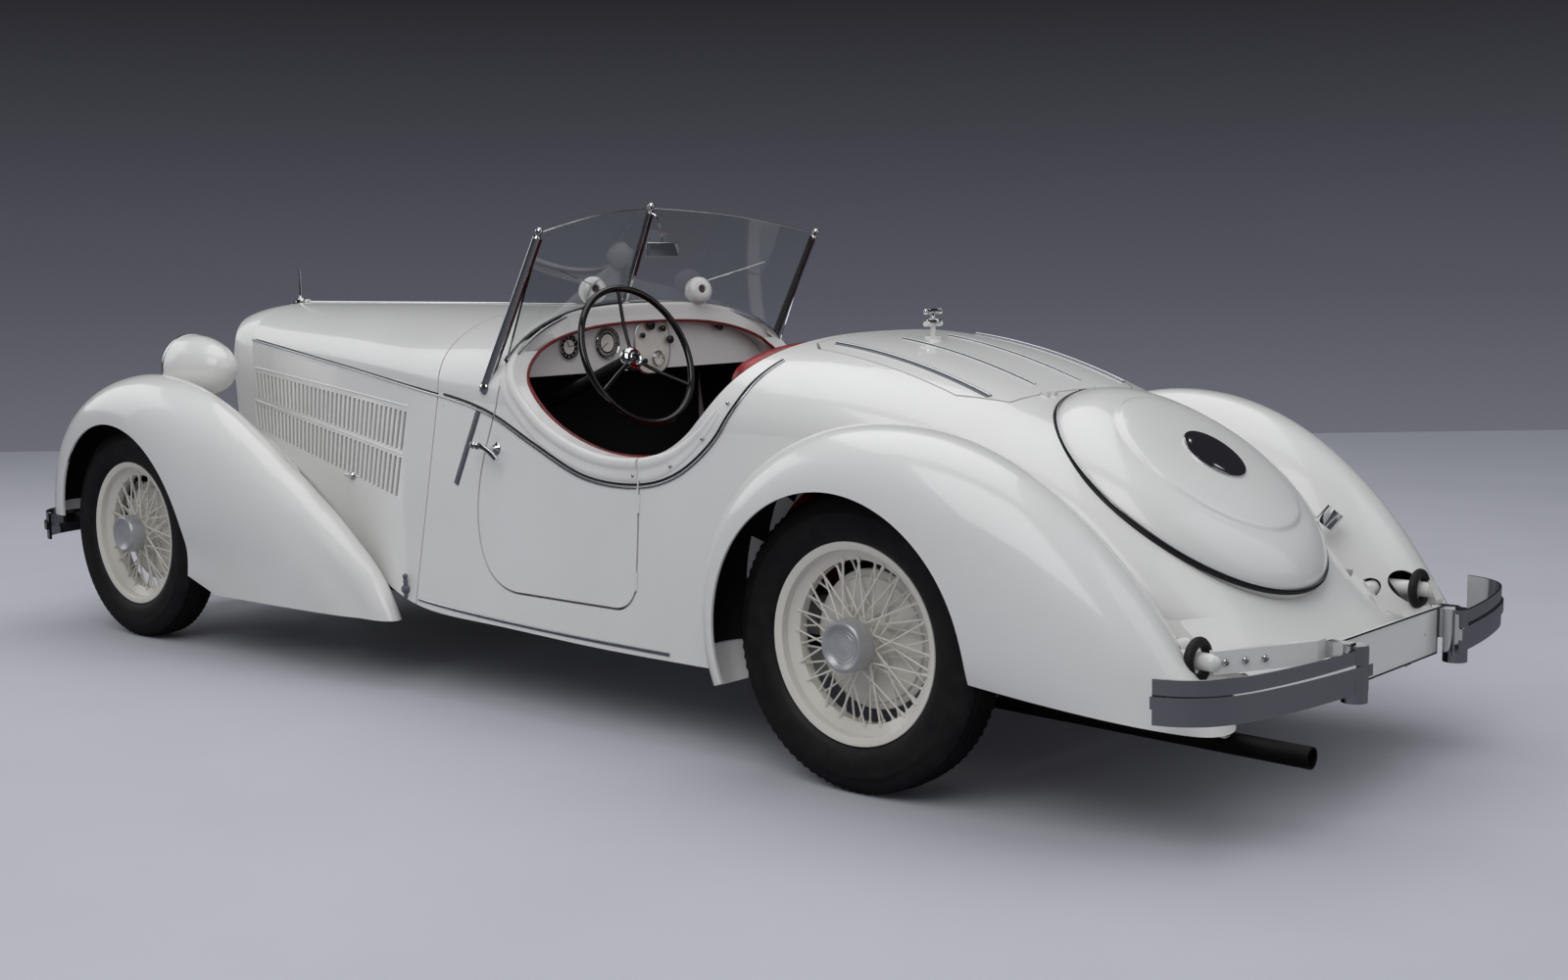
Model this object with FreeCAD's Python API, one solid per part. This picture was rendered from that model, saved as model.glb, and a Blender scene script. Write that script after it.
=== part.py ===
import FreeCAD, Part
import math
import os
from FreeCAD import Vector

# A two-seat roadster with a long bonnet, pontoon fenders and wire wheels.
# Every piece is drawn with x = 0 at the rear axle, +X forward, +Y to the car's left and
# z = 0 on the ground, and is moved at the end so that the origin is midway between bumpers.

os.makedirs("parts", exist_ok=True)

# Driving sizes of the car, in mm
wheelbase = 3100.0
track = 1340.0
rear_reach = 1030.0
front_reach = 650.0
body_height = 1098.0
sill_half_width = 672.0
fender_half_width = 822.0

# Wheels and tyres
tyre_radius = 350.0
tyre_half_width = 70.0
rim_radius = 236.0
rim_half_width = 52.0
rim_wall = 7.0
rim_well_depth = 26.0
bead_depth = 12.0
tyre_shoulder = 26.0
tyre_bead_rise = 62.0
tread_fall = 7.0
hub_radius = 52.0
hub_half_width = 78.0
stub_radius = 22.0
bearing_clearance = 0.05
hinge_clearance = 0.09
drum_radius = 165.0
drum_depth = 62.0
drum_face = 8.0
cap_radius = 62.0
cap_height = 34.0
cap_dish = 14.0
spoke_radius = 2.6
spokes_per_row = 20
spoke_cross_deg = 38.0

# Sheet, walls and gaps
fender_wall = 7.0
bonnet_wall = 9.0
body_wall = 45.0
lid_wall = 22.0
firewall = 24.0
floor_thickness = 40.0
floor_height = 300.0
panel_gap = 5.5
door_gap = 6.5
door_flange = 12.0
door_step = 7.0
seat_gap = 0.3
overrun = 400.0

# Stations of the hull: share of the wheelbase, then shares of the body height or of the
# sill half width for the crown height, shoulder width and height, foot width and height,
# and the fullness of the crown's curve.
hull_shares = [
    (1.0645, 0.994, 0.335, 0.861, 0.345, 0.428, 2.3),
    (0.9935, 0.999, 0.365, 0.861, 0.384, 0.419, 2.3),
    (0.8387, 1.000, 0.513, 0.833, 0.603, 0.392, 2.3),
    (0.6774, 1.000, 0.677, 0.803, 0.811, 0.319, 2.35),
    (0.5419, 0.999, 0.816, 0.779, 0.975, 0.230, 2.45),
    (0.4355, 0.996, 0.881, 0.760, 0.997, 0.215, 2.6),
    (0.3226, 0.979, 0.920, 0.742, 1.000, 0.205, 2.6),
    (0.1935, 0.950, 0.935, 0.733, 0.994, 0.200, 2.6),
    (0.0968, 0.9235, 0.893, 0.729, 0.967, 0.200, 2.6),
    (0.0000, 0.856, 0.796, 0.692, 0.863, 0.202, 2.7),
    (-0.0968, 0.742, 0.707, 0.583, 0.774, 0.211, 2.7),
    (-0.1935, 0.5465, 0.632, 0.392, 0.685, 0.228, 2.7),
    (-0.2871, 0.305, 0.558, 0.262, 0.573, 0.240, 2.4),
]
crown_points = 9
shift_steps = 16

# Fender sections about the wheel's axis: angle from dead ahead, then crown radius, inner
# edge, crown and outer face as shares of the fender half width, then how late and how far
# the inner slope falls.
front_fender_shares = [
    (-4.0, 0.612, 0.520, 0.775, 0.925, 1.8, 0.5),
    (15.0, 0.642, 0.500, 0.772, 0.942, 1.8, 0.5),
    (40.0, 0.640, 0.430, 0.768, 0.958, 1.3, 0.6),
    (65.0, 0.628, 0.330, 0.766, 0.970, 1.0, 0.8),
    (90.0, 0.637, 0.255, 0.766, 0.974, 0.85, 1.0),
    (110.0, 0.663, 0.270, 0.766, 0.974, 0.8, 1.0),
    (128.0, 0.720, 0.330, 0.766, 0.970, 0.8, 1.0),
    (145.0, 0.812, 0.410, 0.770, 0.961, 0.9, 1.0),
    (158.0, 0.938, 0.480, 0.775, 0.950, 1.0, 1.0),
    (168.0, 1.112, 0.560, 0.783, 0.938, 1.2, 1.0),
    (176.0, 1.325, 0.640, 0.793, 0.924, 1.5, 1.0),
    (182.0, 1.530, 0.700, 0.806, 0.912, 1.8, 1.0),
    (189.0, 1.670, 0.720, 0.812, 0.905, 2.0, 1.0),
    (197.0, 1.720, 0.730, 0.818, 0.900, 2.0, 1.0),
]
rear_fender_shares = [
    (-20.0, 0.517, 0.700, 0.872, 0.973, 1.5, 1.0),
    (0.0, 0.526, 0.700, 0.868, 0.983, 1.5, 1.0),
    (20.0, 0.545, 0.690, 0.858, 0.990, 1.5, 1.0),
    (45.0, 0.572, 0.640, 0.840, 0.998, 1.4, 1.0),
    (70.0, 0.596, 0.560, 0.818, 1.000, 1.3, 1.0),
    (95.0, 0.617, 0.520, 0.803, 1.000, 1.3, 1.0),
    (120.0, 0.663, 0.480, 0.793, 0.998, 1.3, 1.0),
    (145.0, 0.745, 0.440, 0.785, 0.988, 1.3, 1.0),
    (165.0, 0.858, 0.420, 0.779, 0.973, 1.3, 1.0),
    (178.0, 0.970, 0.410, 0.767, 0.955, 1.3, 1.0),
    (186.0, 1.095, 0.410, 0.754, 0.931, 1.3, 1.0),
]
front_arch_radius = 368.0
rear_arch_radius = 360.0
fender_inner_drop = 235.0
fender_skirt_height = 196.0
front_skirt_height = 385.0
outer_fullness = 2.2

# Bonnet and radiator
cowl_front = 1680.0
bonnet_front = 3080.0
split_height_front = 978.0
split_height_rear = 853.0
hinge_rod_radius = 5.0
shell_side = 3212.0
shell_nose = 3300.0
shell_rim = 26.0
shell_fall = 36.0
shell_lean = 30.0
shell_foot_height = 510.0
shell_foot_room = 50.0
grille_bar = 5.0
grille_bar_depth = 16.0
grille_bar_pitch = 17.0
grille_set_back = 10.0
core_set_back = 40.0
finial_x = 3132.0
finial_height = 126.0
finial_foot_height = 1090.0
finial_disc_radius = 40.0
finial_disc_height = 7.0
finial_radius = 18.0
finial_rod_radius = 4.0

# Louvres in the bonnet sides
louvre_front = 3040.0
louvre_rear = 1870.0
louvre_count = 36
louvre_slot = 13.0
louvre_top_front = 862.0
louvre_top_rear = 792.0
louvre_foot_front = 672.0
louvre_foot_rear = 545.0
louvre_band = 22.0
louvre_lean = 22.0

# Cockpit and doors
rim_front = 1350.0
rim_rear = 462.0
rim_low = 724.0
coaming_width = 60.0
coaming_rise = 9.0
coaming_end_gap = 12.0
door_rear = 770.0
door_front = 1425.0
door_foot = 335.0
door_top_front = 1345.0
door_corner = 70.0
hinge_pin_radius = 3.0
hinge_barrel_radius = 5.5
hinge_barrel_height = 16.0
hinge_low_height = 410.0
hinge_high_height = 610.0

# Deck lid, its handle and the spare wheel cover
lid_front = 430.0
lid_rear = -125.0
lid_half_width = 365.0
lid_hinge_half_span = 120.0
handle_height = 40.0
handle_half_width = 34.0
handle_radius = 7.0
handle_base_radius = 22.0
handle_base_height = 9.0
cover_x = -458.0
cover_height = 671.0
cover_radius = 369.0
cover_tilt_deg = 54.1
cover_rise = 104.0
cover_base = 24.0
cover_step_radius = 250.0
cover_step = 9.0
cover_cap_radius = 58.0
cover_cap_rise = 12.0

# Windscreen
screen_top_x = 1348.0
screen_top_height = 1382.0
screen_side_x = 1199.0
screen_side_half_width = 573.0
screen_side_height = 1305.0
screen_foot_x = 1469.0
screen_foot_height = 1105.0
post_foot_x = 1435.0
post_foot_height = 880.0
post_radius = 11.0
knob_radius = 14.0
glass_thickness = 6.0
glass_crown = 14.0
glass_lift = 4.0
screen_gap = 16.0
post_pad_radius = 22.0

# Cabin
dash_x = 1385.0
dash_foot_height = 905.0
dash_thickness = 14.0
seat_rear = 480.0
seat_front = 990.0
seat_half_width = 505.0
seat_height = 545.0
seat_back_thickness = 150.0
seat_back_height = 1005.0
steering_x = 1100.0
steering_y = 310.0
steering_height = 966.0
steering_radius = 209.0
steering_rim = 11.5
steering_tilt_deg = 21.7
steering_boss = 34.0
steering_boss_depth = 34.0
steering_dish = 22.0
steering_spoke = 5.5
column_radius = 19.0

# Frame, engine and running gear
rail_y = 345.0
rail_width = 60.0
rail_foot = 205.0
rail_height = 90.0
rail_rear = -720.0
rail_front = 3500.0
seat_cross_x = 620.0
cowl_cross_x = 1400.0
cross_inset = 10.0
engine_front = 2960.0
engine_rear = 2050.0
engine_half_width = 170.0
engine_foot = 235.0
engine_top = 900.0
engine_ports = 6
bearer_width = 50.0
bearer_thickness = 12.0
kingpin_y = 546.0
kingpin_radius = 20.0
kingpin_foot = 262.0
kingpin_top = 470.0
collar_radius = 32.0
arm_thickness = 26.0
arm_half_width = 25.0
arm_eye_radius = 25.0
arm_pin_radius = 9.0
arm_pin_depth = 30.0
axle_radius = 32.0

# Lamps, bumpers, plate and exhaust
lamp_x = 3148.0
lamp_y = 440.0
lamp_height = 888.0
lamp_radius = 111.0
lamp_rim = 12.0
lamp_front = 40.0
lamp_rear = 215.0
lamp_stalk_radius = 16.0
lamp_stalk_foot = 690.0
bumper_foot = 298.0
bumper_height = 94.0
bumper_thickness = 9.0
bumper_rib = 9.0
bumper_rib_height = 26.0
bumper_tip_y = 786.0
bumper_tip_set_back = 200.0
guard_y = 264.0
guard_radius = 28.0
guard_foot = 276.0
guard_height = 124.0
plate_half_width = 260.0
plate_height = 110.0
plate_top = 400.0
plate_thickness = 6.0
plate_hole_radius = 3.5
plate_hole_half_span = 190.0
tow_hole_radius = 12.0
tow_hole_height = 245.0
bumper_arm_y = 550.0
bumper_arm_height = 385.0
bumper_arm_radius = 19.0
bumper_arm_hole = 42.0
front_arm_width = 35.0
exhaust_radius = 24.0
exhaust_y = 430.0
exhaust_height = 215.0
exhaust_fall = 30.0
exhaust_wall = 4.0
exhaust_rear = -990.0
exhaust_front = 500.0

# Fuel filler on the right of the tail, and the way that it points
filler_x = -590.0
filler_y = -430.0
filler_height = 545.0
filler_radius = 26.0
filler_rise = 46.0
filler_axis_share = (-0.55, -0.30, 0.78)

# Headlamp bowl: shares of its radius and of its length behind the rim
lamp_shares = [(0, 1), (0.37, 0.93), (0.69, 0.72), (0.93, 0.36), (1, 0)]

axle_height = tyre_radius
front_axle_x = wheelbase
origin_x = (wheelbase + front_reach - rear_reach) / 2


def box(x0, x1, y0, y1, z0, z1):
    return Part.makeBox(x1 - x0, y1 - y0, z1 - z0, Vector(x0, y0, z0))


def rod(start, end, radius):
    return Part.makeCylinder(radius, (end - start).Length, start, end - start)


def mirrored(shape):
    return shape.mirror(Vector(0, 0, 0), Vector(0, 1, 0))


def both_sides(shape):
    return Part.makeCompound([shape, mirrored(shape)])


def polygon(points):
    return Part.makePolygon(points + [points[0]])


def spline(points):
    curve = Part.BSplineCurve()
    curve.interpolate(points)
    return curve.toShape()


def shifted_spline(points, distance):
    """Side view curve through the points, moved to the left of its run by a distance."""
    curve = Part.BSplineCurve()
    curve.interpolate(points)
    if distance == 0:
        return curve.toShape()
    moved = []
    for step in range(shift_steps + 1):
        at = curve.LastParameter * step / shift_steps
        along = curve.tangent(at)[0]
        moved.append(curve.value(at) + Vector(-along.z, 0, along.x) * distance)
    return spline(moved)


def revolved(points, centre, axis):
    """Turn a closed outline, drawn beyond the axis, into a ring or a turned solid."""
    return Part.Face(polygon(points)).revolve(centre, axis, 360)


def side_prism(wire, y0, y1):
    """Extrude an outline drawn in the side view (y = 0) from y0 to y1."""
    face = Part.Face(wire)
    face.translate(Vector(0, y0, 0))
    return face.extrude(Vector(0, y1 - y0, 0))


# Hull: the smooth form that bonnet, cowl, doors, deck and tail are all cut from
def hull_section(station, inset):
    x_share, top, shoulder, shoulder_z, foot, foot_z, fullness = station
    x = x_share * wheelbase
    shoulder_y = shoulder * sill_half_width - inset
    foot_y = foot * sill_half_width - inset
    shoulder_z = shoulder_z * body_height
    foot_z = foot_z * body_height - abs(inset)
    rise = top * body_height - inset - shoulder_z
    crown = []
    for step in range(2 * crown_points + 1):
        angle = math.pi * step / (2 * crown_points)
        across = abs(math.cos(angle)) ** (2 / fullness)
        up = math.sin(angle) ** (2 / fullness)
        side = 1 if math.cos(angle) >= 0 else -1
        crown.append(Vector(x, side * shoulder_y * across, shoulder_z + rise * up))
    left_foot = Vector(x, foot_y, foot_z)
    right_foot = Vector(x, -foot_y, foot_z)
    edges = [
        spline(crown),
        Part.makeLine(crown[-1], right_foot),
        Part.makeLine(right_foot, left_foot),
        Part.makeLine(left_foot, crown[0]),
    ]
    return Part.Wire(edges)


def hull(inset, first=0, last=None):
    sections = [hull_section(station, inset) for station in hull_shares[first:last]]
    return Part.makeLoft(sections, True)


def side_of_hull(shape, x, z):
    """Half width of the hull at a place in the side view."""
    line = Part.makeLine(Vector(x, 0, z), Vector(x, fender_half_width, z))
    return max(vertex.Y for vertex in shape.common(line).Vertexes)


def top_of_hull(shape, x, y):
    """Height of the hull at a place in the plan."""
    line = Part.makeLine(Vector(x, y, floor_height), Vector(x, y, 2 * body_height))
    return max(vertex.Z for vertex in shape.common(line).Vertexes)


# Cockpit opening, drawn in the side view
def cockpit_curve():
    """Points down from the cowl, along the low rim and up to the deck."""
    span = rim_front - rim_rear
    depth = body_height - rim_low
    rim_shares = [
        (0.000, 0.92), (0.010, 0.76), (0.065, 0.46), (0.215, 0.195), (0.430, 0.028),
        (0.630, 0.000), (0.765, 0.075), (0.868, 0.250), (0.950, 0.50), (1.000, 0.79),
    ]
    return [Vector(rim_front - span * x, 0, rim_low + depth * z) for x, z in rim_shares]


def cockpit_face(growth):
    rim = shifted_spline(cockpit_curve(), growth)
    front = rim.Vertexes[0].Point
    rear = rim.Vertexes[-1].Point
    lift = Vector(0, 0, overrun)
    edges = [
        rim,
        Part.makeLine(rear, rear + lift),
        Part.makeLine(rear + lift, front + lift),
        Part.makeLine(front + lift, front),
    ]
    return Part.Face(Part.Wire(edges))


def through(face):
    """Extrude a side view face right through the car."""
    moved = face.copy()
    moved.translate(Vector(0, -overrun * 2, 0))
    return moved.extrude(Vector(0, overrun * 4, 0))


def coaming(outer):
    """Padded roll laid on the body along the cockpit's rim, and over the cowl's edge."""
    band = through(cockpit_face(coaming_width)).cut(through(cockpit_face(0)))
    ahead = box(rim_rear + coaming_width, cowl_front, -overrun * 2, overrun * 2, 0, overrun * 4)
    roll = hull(-coaming_rise).cut(outer).common(band).common(ahead)
    left = behind_screen(screen_gap)
    return roll.common(left.fuse(mirrored(left)))


def door_outline(growth):
    top = body_height
    low_front = Vector(door_front - 3 * door_corner, 0, door_foot)
    high_front = Vector(door_top_front, 0, top)
    front = shifted_spline([
        high_front,
        Vector((door_top_front + door_front) / 2, 0, rim_low + door_corner),
        Vector(door_front, 0, (door_foot + rim_low) / 2 + door_corner),
        Vector(door_front - 0.9 * door_corner, 0, door_foot + 0.85 * door_corner),
        low_front,
    ], growth)
    upper = front.Vertexes[0].Point
    lower = front.Vertexes[-1].Point
    rear = door_rear - growth
    radius = door_corner + growth
    middle = Vector(door_rear + door_corner, 0, door_foot + door_corner)
    foot = middle + Vector(0, 0, -radius)
    corner = Part.Arc(
        foot,
        middle + Vector(-radius * math.sqrt(0.5), 0, -radius * math.sqrt(0.5)),
        middle + Vector(-radius, 0, 0),
    )
    return Part.Wire([
        front,
        Part.makeLine(lower, foot),
        corner.toShape(),
        Part.makeLine(middle + Vector(-radius, 0, 0), Vector(rear, 0, upper.z)),
        Part.makeLine(Vector(rear, 0, upper.z), upper),
    ])


def door_axis(hull_shape):
    """Two points on the line through the door's hinge pins."""
    x = door_rear - door_gap / 2
    low = Vector(x, side_of_hull(hull_shape, x, hinge_low_height), hinge_low_height)
    high = Vector(x, side_of_hull(hull_shape, x, hinge_high_height), hinge_high_height)
    return low, high


def door_hinges(hull_shape):
    """Body half, door half and the room that each half needs in the other."""
    low, high = door_axis(hull_shape)
    along = (high - low).normalize()
    half = along * (hinge_barrel_height / 2)
    reach = along * (1.5 * hinge_barrel_height)
    slack = along * seat_gap
    room = hinge_barrel_radius + seat_gap
    body_half, door_half, body_room, door_room = [], [], [], []
    for centre in (low, high):
        outer = rod(centre - reach, centre + reach, hinge_barrel_radius)
        middle = rod(centre - half - slack, centre + half + slack, room)
        pin = rod(centre - reach, centre + reach, hinge_pin_radius)
        body_half.append(outer.cut(middle).fuse(pin))
        bore = rod(centre - half, centre + half, hinge_pin_radius + hinge_clearance)
        door_half.append(rod(centre - half, centre + half, hinge_barrel_radius).cut(bore))
        body_room.append(middle)
        door_room.append(rod(centre - reach - slack, centre + reach + slack, room))
    return body_half, door_half, body_room, door_room


def hinge_foot(centre, height, toward):
    """Strap from a hinge barrel to the panel edge beside it."""
    deep = hinge_barrel_radius
    wide = door_gap + hinge_barrel_radius
    x0, x1 = (centre.x, centre.x + wide) if toward > 0 else (centre.x - wide, centre.x)
    strap = box(x0, x1, centre.y - 3 * deep, centre.y - deep / 2,
                centre.z - height / 2, centre.z + height / 2)
    return strap


def door_prism(gap):
    return side_prism(door_outline(gap), overrun, overrun * 2)


def cabin_shell(outer, inner):
    """Cowl, cabin sides, floor and tail in one thick shell, open at the cockpit."""
    cabin = outer.common(box(-overrun * 3, cowl_front, -overrun * 2, overrun * 2, 0, overrun * 4))
    room = inner.common(
        box(-overrun, cowl_front - firewall, -overrun * 2, overrun * 2,
            floor_height + floor_thickness, overrun * 4))
    return cabin.cut([room, through(cockpit_face(0))])


def hinged_door(shell, hinges, along):
    rebate = door_prism(0).cut(door_prism(-door_step)).common(hull(door_flange, 3, 11))
    door = shell.common(door_prism(0)).cut(rebate)
    for ends, knuckle in zip(hinges[3], hinges[1]):
        centre = knuckle.BoundBox.Center
        strap = hinge_foot(centre, hinge_barrel_height - hinge_pin_radius, 1)
        strap = strap.cut(rod(centre - along * overrun, centre + along * overrun,
                              hinge_pin_radius + hinge_clearance))
        door = door.cut(ends).fuse([knuckle, strap])
    return door


def hinge_halves_on_body(hinges, along):
    pieces = []
    for piece in hinges[0]:
        centre = piece.BoundBox.Center
        for side in (-1, 1):
            foot = hinge_foot(centre + along * (side * hinge_barrel_height),
                              hinge_barrel_height * 0.9, -1)
            piece = piece.fuse(foot)
        pieces.append(piece)
    return pieces


def wheel_house():
    start = Vector(0, track / 2 - 1.6 * tyre_half_width, axle_height)
    return rod(start, Vector(0, fender_half_width, axle_height), rear_arch_radius * 1.16)


def under_floor():
    """Room below the floor for the frame, and the tunnel over the rear axle."""
    inner = sill_half_width * 0.78
    frame_room = box(rail_rear - overrun, cowl_front + overrun, -inner, inner, 0, floor_height)
    tunnel = box(-2 * axle_radius, 2 * axle_radius, -sill_half_width, sill_half_width,
                 0, axle_height + 2 * axle_radius)
    return frame_room.fuse(tunnel)


def arm_pocket():
    """Room in the tail for the foot of the rear bumper's arm."""
    slack = 4 * panel_gap
    return box(rail_rear - slack - rail_width, rail_rear + rail_width + slack,
               rail_y - rail_width, sill_half_width, 0, bumper_arm_height + bumper_arm_radius + slack)


def lid_outline(gap):
    half = lid_half_width + gap
    rear = lid_rear - gap
    front = lid_front + gap
    corner = lid_half_width / 4
    points = [
        Vector(front, half - corner / 2, 0), Vector(front, corner / 2 - half, 0),
        Vector(front - corner / 2, -half, 0), Vector(rear + corner, -half, 0),
        Vector(rear, corner - half, 0), Vector(rear, half - corner, 0),
        Vector(rear + corner, half, 0), Vector(front - corner / 2, half, 0),
    ]
    face = Part.Face(polygon(points))
    face.translate(Vector(0, 0, floor_height * 2))
    return face.extrude(Vector(0, 0, overrun * 2))


def cover_axis():
    tilt = math.radians(cover_tilt_deg)
    return Vector(-math.cos(tilt), 0, math.sin(tilt))


def cover_pocket():
    axis = cover_axis()
    centre = Vector(cover_x, 0, cover_height) - axis * cover_base
    return Part.makeCylinder(cover_radius + seat_gap * 10, overrun, centre, axis)


def body_tub_and_door(outer, inner):
    shell = cabin_shell(outer, inner)
    hinges = door_hinges(outer)
    low, high = door_axis(outer)
    along = (high - low).normalize()
    door = hinged_door(shell, hinges, along)
    side_cuts = [door_prism(door_gap), wheel_house()] + hinges[2]
    cuts = side_cuts + [mirrored(shape) for shape in side_cuts]
    cuts += [outer.common(lid_outline(panel_gap)), cover_pocket(), under_floor()]
    cuts += [arm_pocket(), mirrored(arm_pocket())] + lid_knuckle_room(outer)
    halves = hinge_halves_on_body(hinges, along)
    added = halves + [mirrored(shape) for shape in halves] + lid_hinge_body(outer)
    return shell.cut(cuts).fuse(added), door


# Deck lid, hinged along its rear edge
def lid_axis(outer):
    x = lid_rear - panel_gap / 2
    return Vector(x, 0, top_of_hull(outer, x, 0))


def lid_knuckle_room(outer):
    """Room in the deck for the lid's two hinge knuckles."""
    centre = lid_axis(outer)
    half = Vector(0, hinge_barrel_height / 2 + seat_gap, 0)
    places = [centre + Vector(0, side * lid_hinge_half_span, 0) for side in (-1, 1)]
    return [rod(at - half, at + half, hinge_barrel_radius + seat_gap) for at in places]


def lid_hinge_body(outer):
    centre = lid_axis(outer)
    pieces = []
    for side in (-1, 1):
        at = centre + Vector(0, side * lid_hinge_half_span, 0)
        span = Vector(0, 1.5 * hinge_barrel_height, 0)
        gap = Vector(0, hinge_barrel_height / 2 + seat_gap, 0)
        barrel = rod(at - span, at + span, hinge_barrel_radius)
        barrel = barrel.cut(rod(at - gap, at + gap, hinge_barrel_radius * 2))
        strap = box(at.x - 3 * hinge_barrel_radius, at.x, at.y - span.y, at.y + span.y,
                    at.z - 5 * hinge_barrel_radius, at.z)
        strap = strap.cut(rod(at - gap, at + gap, hinge_barrel_radius + seat_gap))
        strap = strap.cut(box(at.x - overrun, at.x + overrun, at.y - gap.y, at.y + gap.y,
                              0, body_height))
        pieces.append(barrel.fuse(strap).fuse(rod(at - span, at + span, hinge_pin_radius)))
    return pieces


def deck_lid(outer, lid_inner):
    lid = outer.cut(lid_inner).common(lid_outline(0))
    centre = lid_axis(outer)
    for side in (-1, 1):
        at = centre + Vector(0, side * lid_hinge_half_span, 0)
        half = Vector(0, hinge_barrel_height / 2, 0)
        full = Vector(0, 1.5 * hinge_barrel_height + seat_gap, 0)
        lid = lid.cut(rod(at - full, at + full, hinge_barrel_radius + seat_gap))
        strap = box(at.x, at.x + 3 * hinge_barrel_radius, at.y - half.y, at.y + half.y,
                    at.z - 2.6 * hinge_barrel_radius, at.z)
        knuckle = rod(at - half, at + half, hinge_barrel_radius).fuse(strap)
        knuckle = knuckle.cut(rod(at - full, at + full, hinge_pin_radius + hinge_clearance))
        lid = lid.fuse(knuckle)
    return lid


def lid_handle(outer):
    x = lid_front - lid_half_width / 3
    foot = Vector(x, 0, top_of_hull(outer, x, 0) - handle_base_height / 3)
    top = foot + Vector(0, 0, handle_height)
    half = Vector(0, handle_half_width, 0)
    base = rod(foot, foot + Vector(0, 0, handle_base_height), handle_base_radius)
    stem = rod(foot, top, handle_radius)
    return base.fuse([stem, rod(top - half, top + half, handle_radius)])


def spare_cover():
    """Domed lid over the spare wheel, with a stepped crown and a round centre cap."""
    axis = cover_axis()
    rim = cover_radius
    step = cover_step_radius
    cap = cover_cap_radius
    shoulder = cover_rise * 0.36
    profile = [
        Vector(0, 0, -cover_base), Vector(rim, 0, -cover_base), Vector(rim, 0, 0),
        Vector(rim * 0.985, 0, cover_rise * 0.13), Vector(rim * 0.93, 0, shoulder),
        Vector(rim * 0.82, 0, cover_rise * 0.60), Vector(step, 0, cover_rise * 0.74),
        Vector(step - cover_step, 0, cover_rise * 0.74 + cover_step),
        Vector(step * 0.55, 0, cover_rise * 0.96), Vector(cap, 0, cover_rise),
        Vector(cap, 0, cover_rise + cover_cap_rise / 2),
        Vector(0, 0, cover_rise + cover_cap_rise),
    ]
    shape = revolved(profile, Vector(0, 0, 0), Vector(0, 0, 1))
    turn = FreeCAD.Rotation(Vector(0, 0, 1), axis)
    shape.Placement = FreeCAD.Placement(Vector(cover_x, 0, cover_height), turn)
    return shape


# Bonnet: two leaves hinged on a rod along the crown, and the louvred side panels
def split_prism(upward):
    """Everything above or below the bonnet's side moulding, less half a gap."""
    shift = panel_gap / 2 if upward else -panel_gap / 2
    level = overrun * 4 if upward else 0
    wire = polygon([
        Vector(cowl_front - overrun, 0, split_height_at(cowl_front - overrun) + shift),
        Vector(shell_nose, 0, split_height_at(shell_nose) + shift),
        Vector(shell_nose, 0, level),
        Vector(cowl_front - overrun, 0, level),
    ])
    return side_prism(wire, 0, overrun * 2)


def split_height_at(x):
    share = (x - cowl_front) / (bonnet_front - cowl_front)
    return split_height_rear + (split_height_front - split_height_rear) * share


def bonnet_skin(outer, bonnet_inner):
    length = box(cowl_front + panel_gap, bonnet_front - panel_gap, 0, overrun * 2, 0, overrun * 4)
    return outer.cut(bonnet_inner).common(length)


def hinge_line(outer):
    """Ends of the bonnet's hinge, from the cowl to the shell's rear face."""
    height = top_of_hull(outer, (cowl_front + bonnet_front) / 2, 0)
    return Vector(cowl_front, 0, height), Vector(bonnet_front + panel_gap / 2 - seat_gap, 0, height)


def hinge_rod(outer):
    start, end = hinge_line(outer)
    return rod(start, end, hinge_rod_radius)


def bonnet_leaf(skin, outer):
    start, end = hinge_line(outer)
    around = rod(start, end, hinge_rod_radius + seat_gap)
    return skin.common(split_prism(True)).cut(around)


def bonnet_side(skin):
    arm_room = box(front_axle_x - 2 * arm_half_width, bonnet_front, 0, overrun * 2,
                   0, kingpin_top + 2 * arm_thickness)
    return skin.common(split_prism(False)).cut([arm_room] + louvre_slots())


def louvre_slots():
    """Two rows of upright slots, parted by a plain band, that lean less towards the rear."""
    slots = []
    for index in range(louvre_count):
        share = index / (louvre_count - 1)
        x = louvre_front + (louvre_rear - louvre_front) * share
        top = louvre_top_front + (louvre_top_rear - louvre_top_front) * share
        foot = louvre_foot_front + (louvre_foot_rear - louvre_foot_front) * share
        lean = louvre_lean * (1 - share)
        middle = (top + foot) / 2
        rows = [(top, middle + louvre_band / 2), (middle - louvre_band / 2, foot)]
        for high, low in rows:
            wire = polygon([
                Vector(x - louvre_slot / 2, 0, high), Vector(x + louvre_slot / 2, 0, high),
                Vector(x + louvre_slot / 2 - lean, 0, low), Vector(x - louvre_slot / 2 - lean, 0, low),
            ])
            slots.append(side_prism(wire, 0, overrun * 2))
    return slots


def shell_outline(inset):
    """Front view of the radiator shell as a closed curve, narrow at its foot."""
    top = hull_shares[0][1] * body_height - inset
    wide = hull_shares[0][2] * sill_half_width * 1.03 - inset
    shoulder = hull_shares[0][3] * body_height
    foot = shell_foot_height + inset
    half = [
        (0, top), (wide * 0.5, top - (top - shoulder) * 0.10), (wide * 0.86, top - (top - shoulder) * 0.42),
        (wide, shoulder - inset), (wide * 0.96, shoulder * 0.78), (wide * 0.80, shoulder * 0.62),
        (wide * 0.45, foot + (shoulder - foot) * 0.06),
    ]
    left = [Vector(0, y, z) for y, z in half]
    bottom = Vector(0, 0, foot)
    right = [Vector(0, -y, z) for y, z in reversed(half[1:])]
    curve = Part.BSplineCurve()
    curve.interpolate(left + [bottom] + right, PeriodicFlag=True)
    return Part.Wire(curve.toShape())


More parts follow.
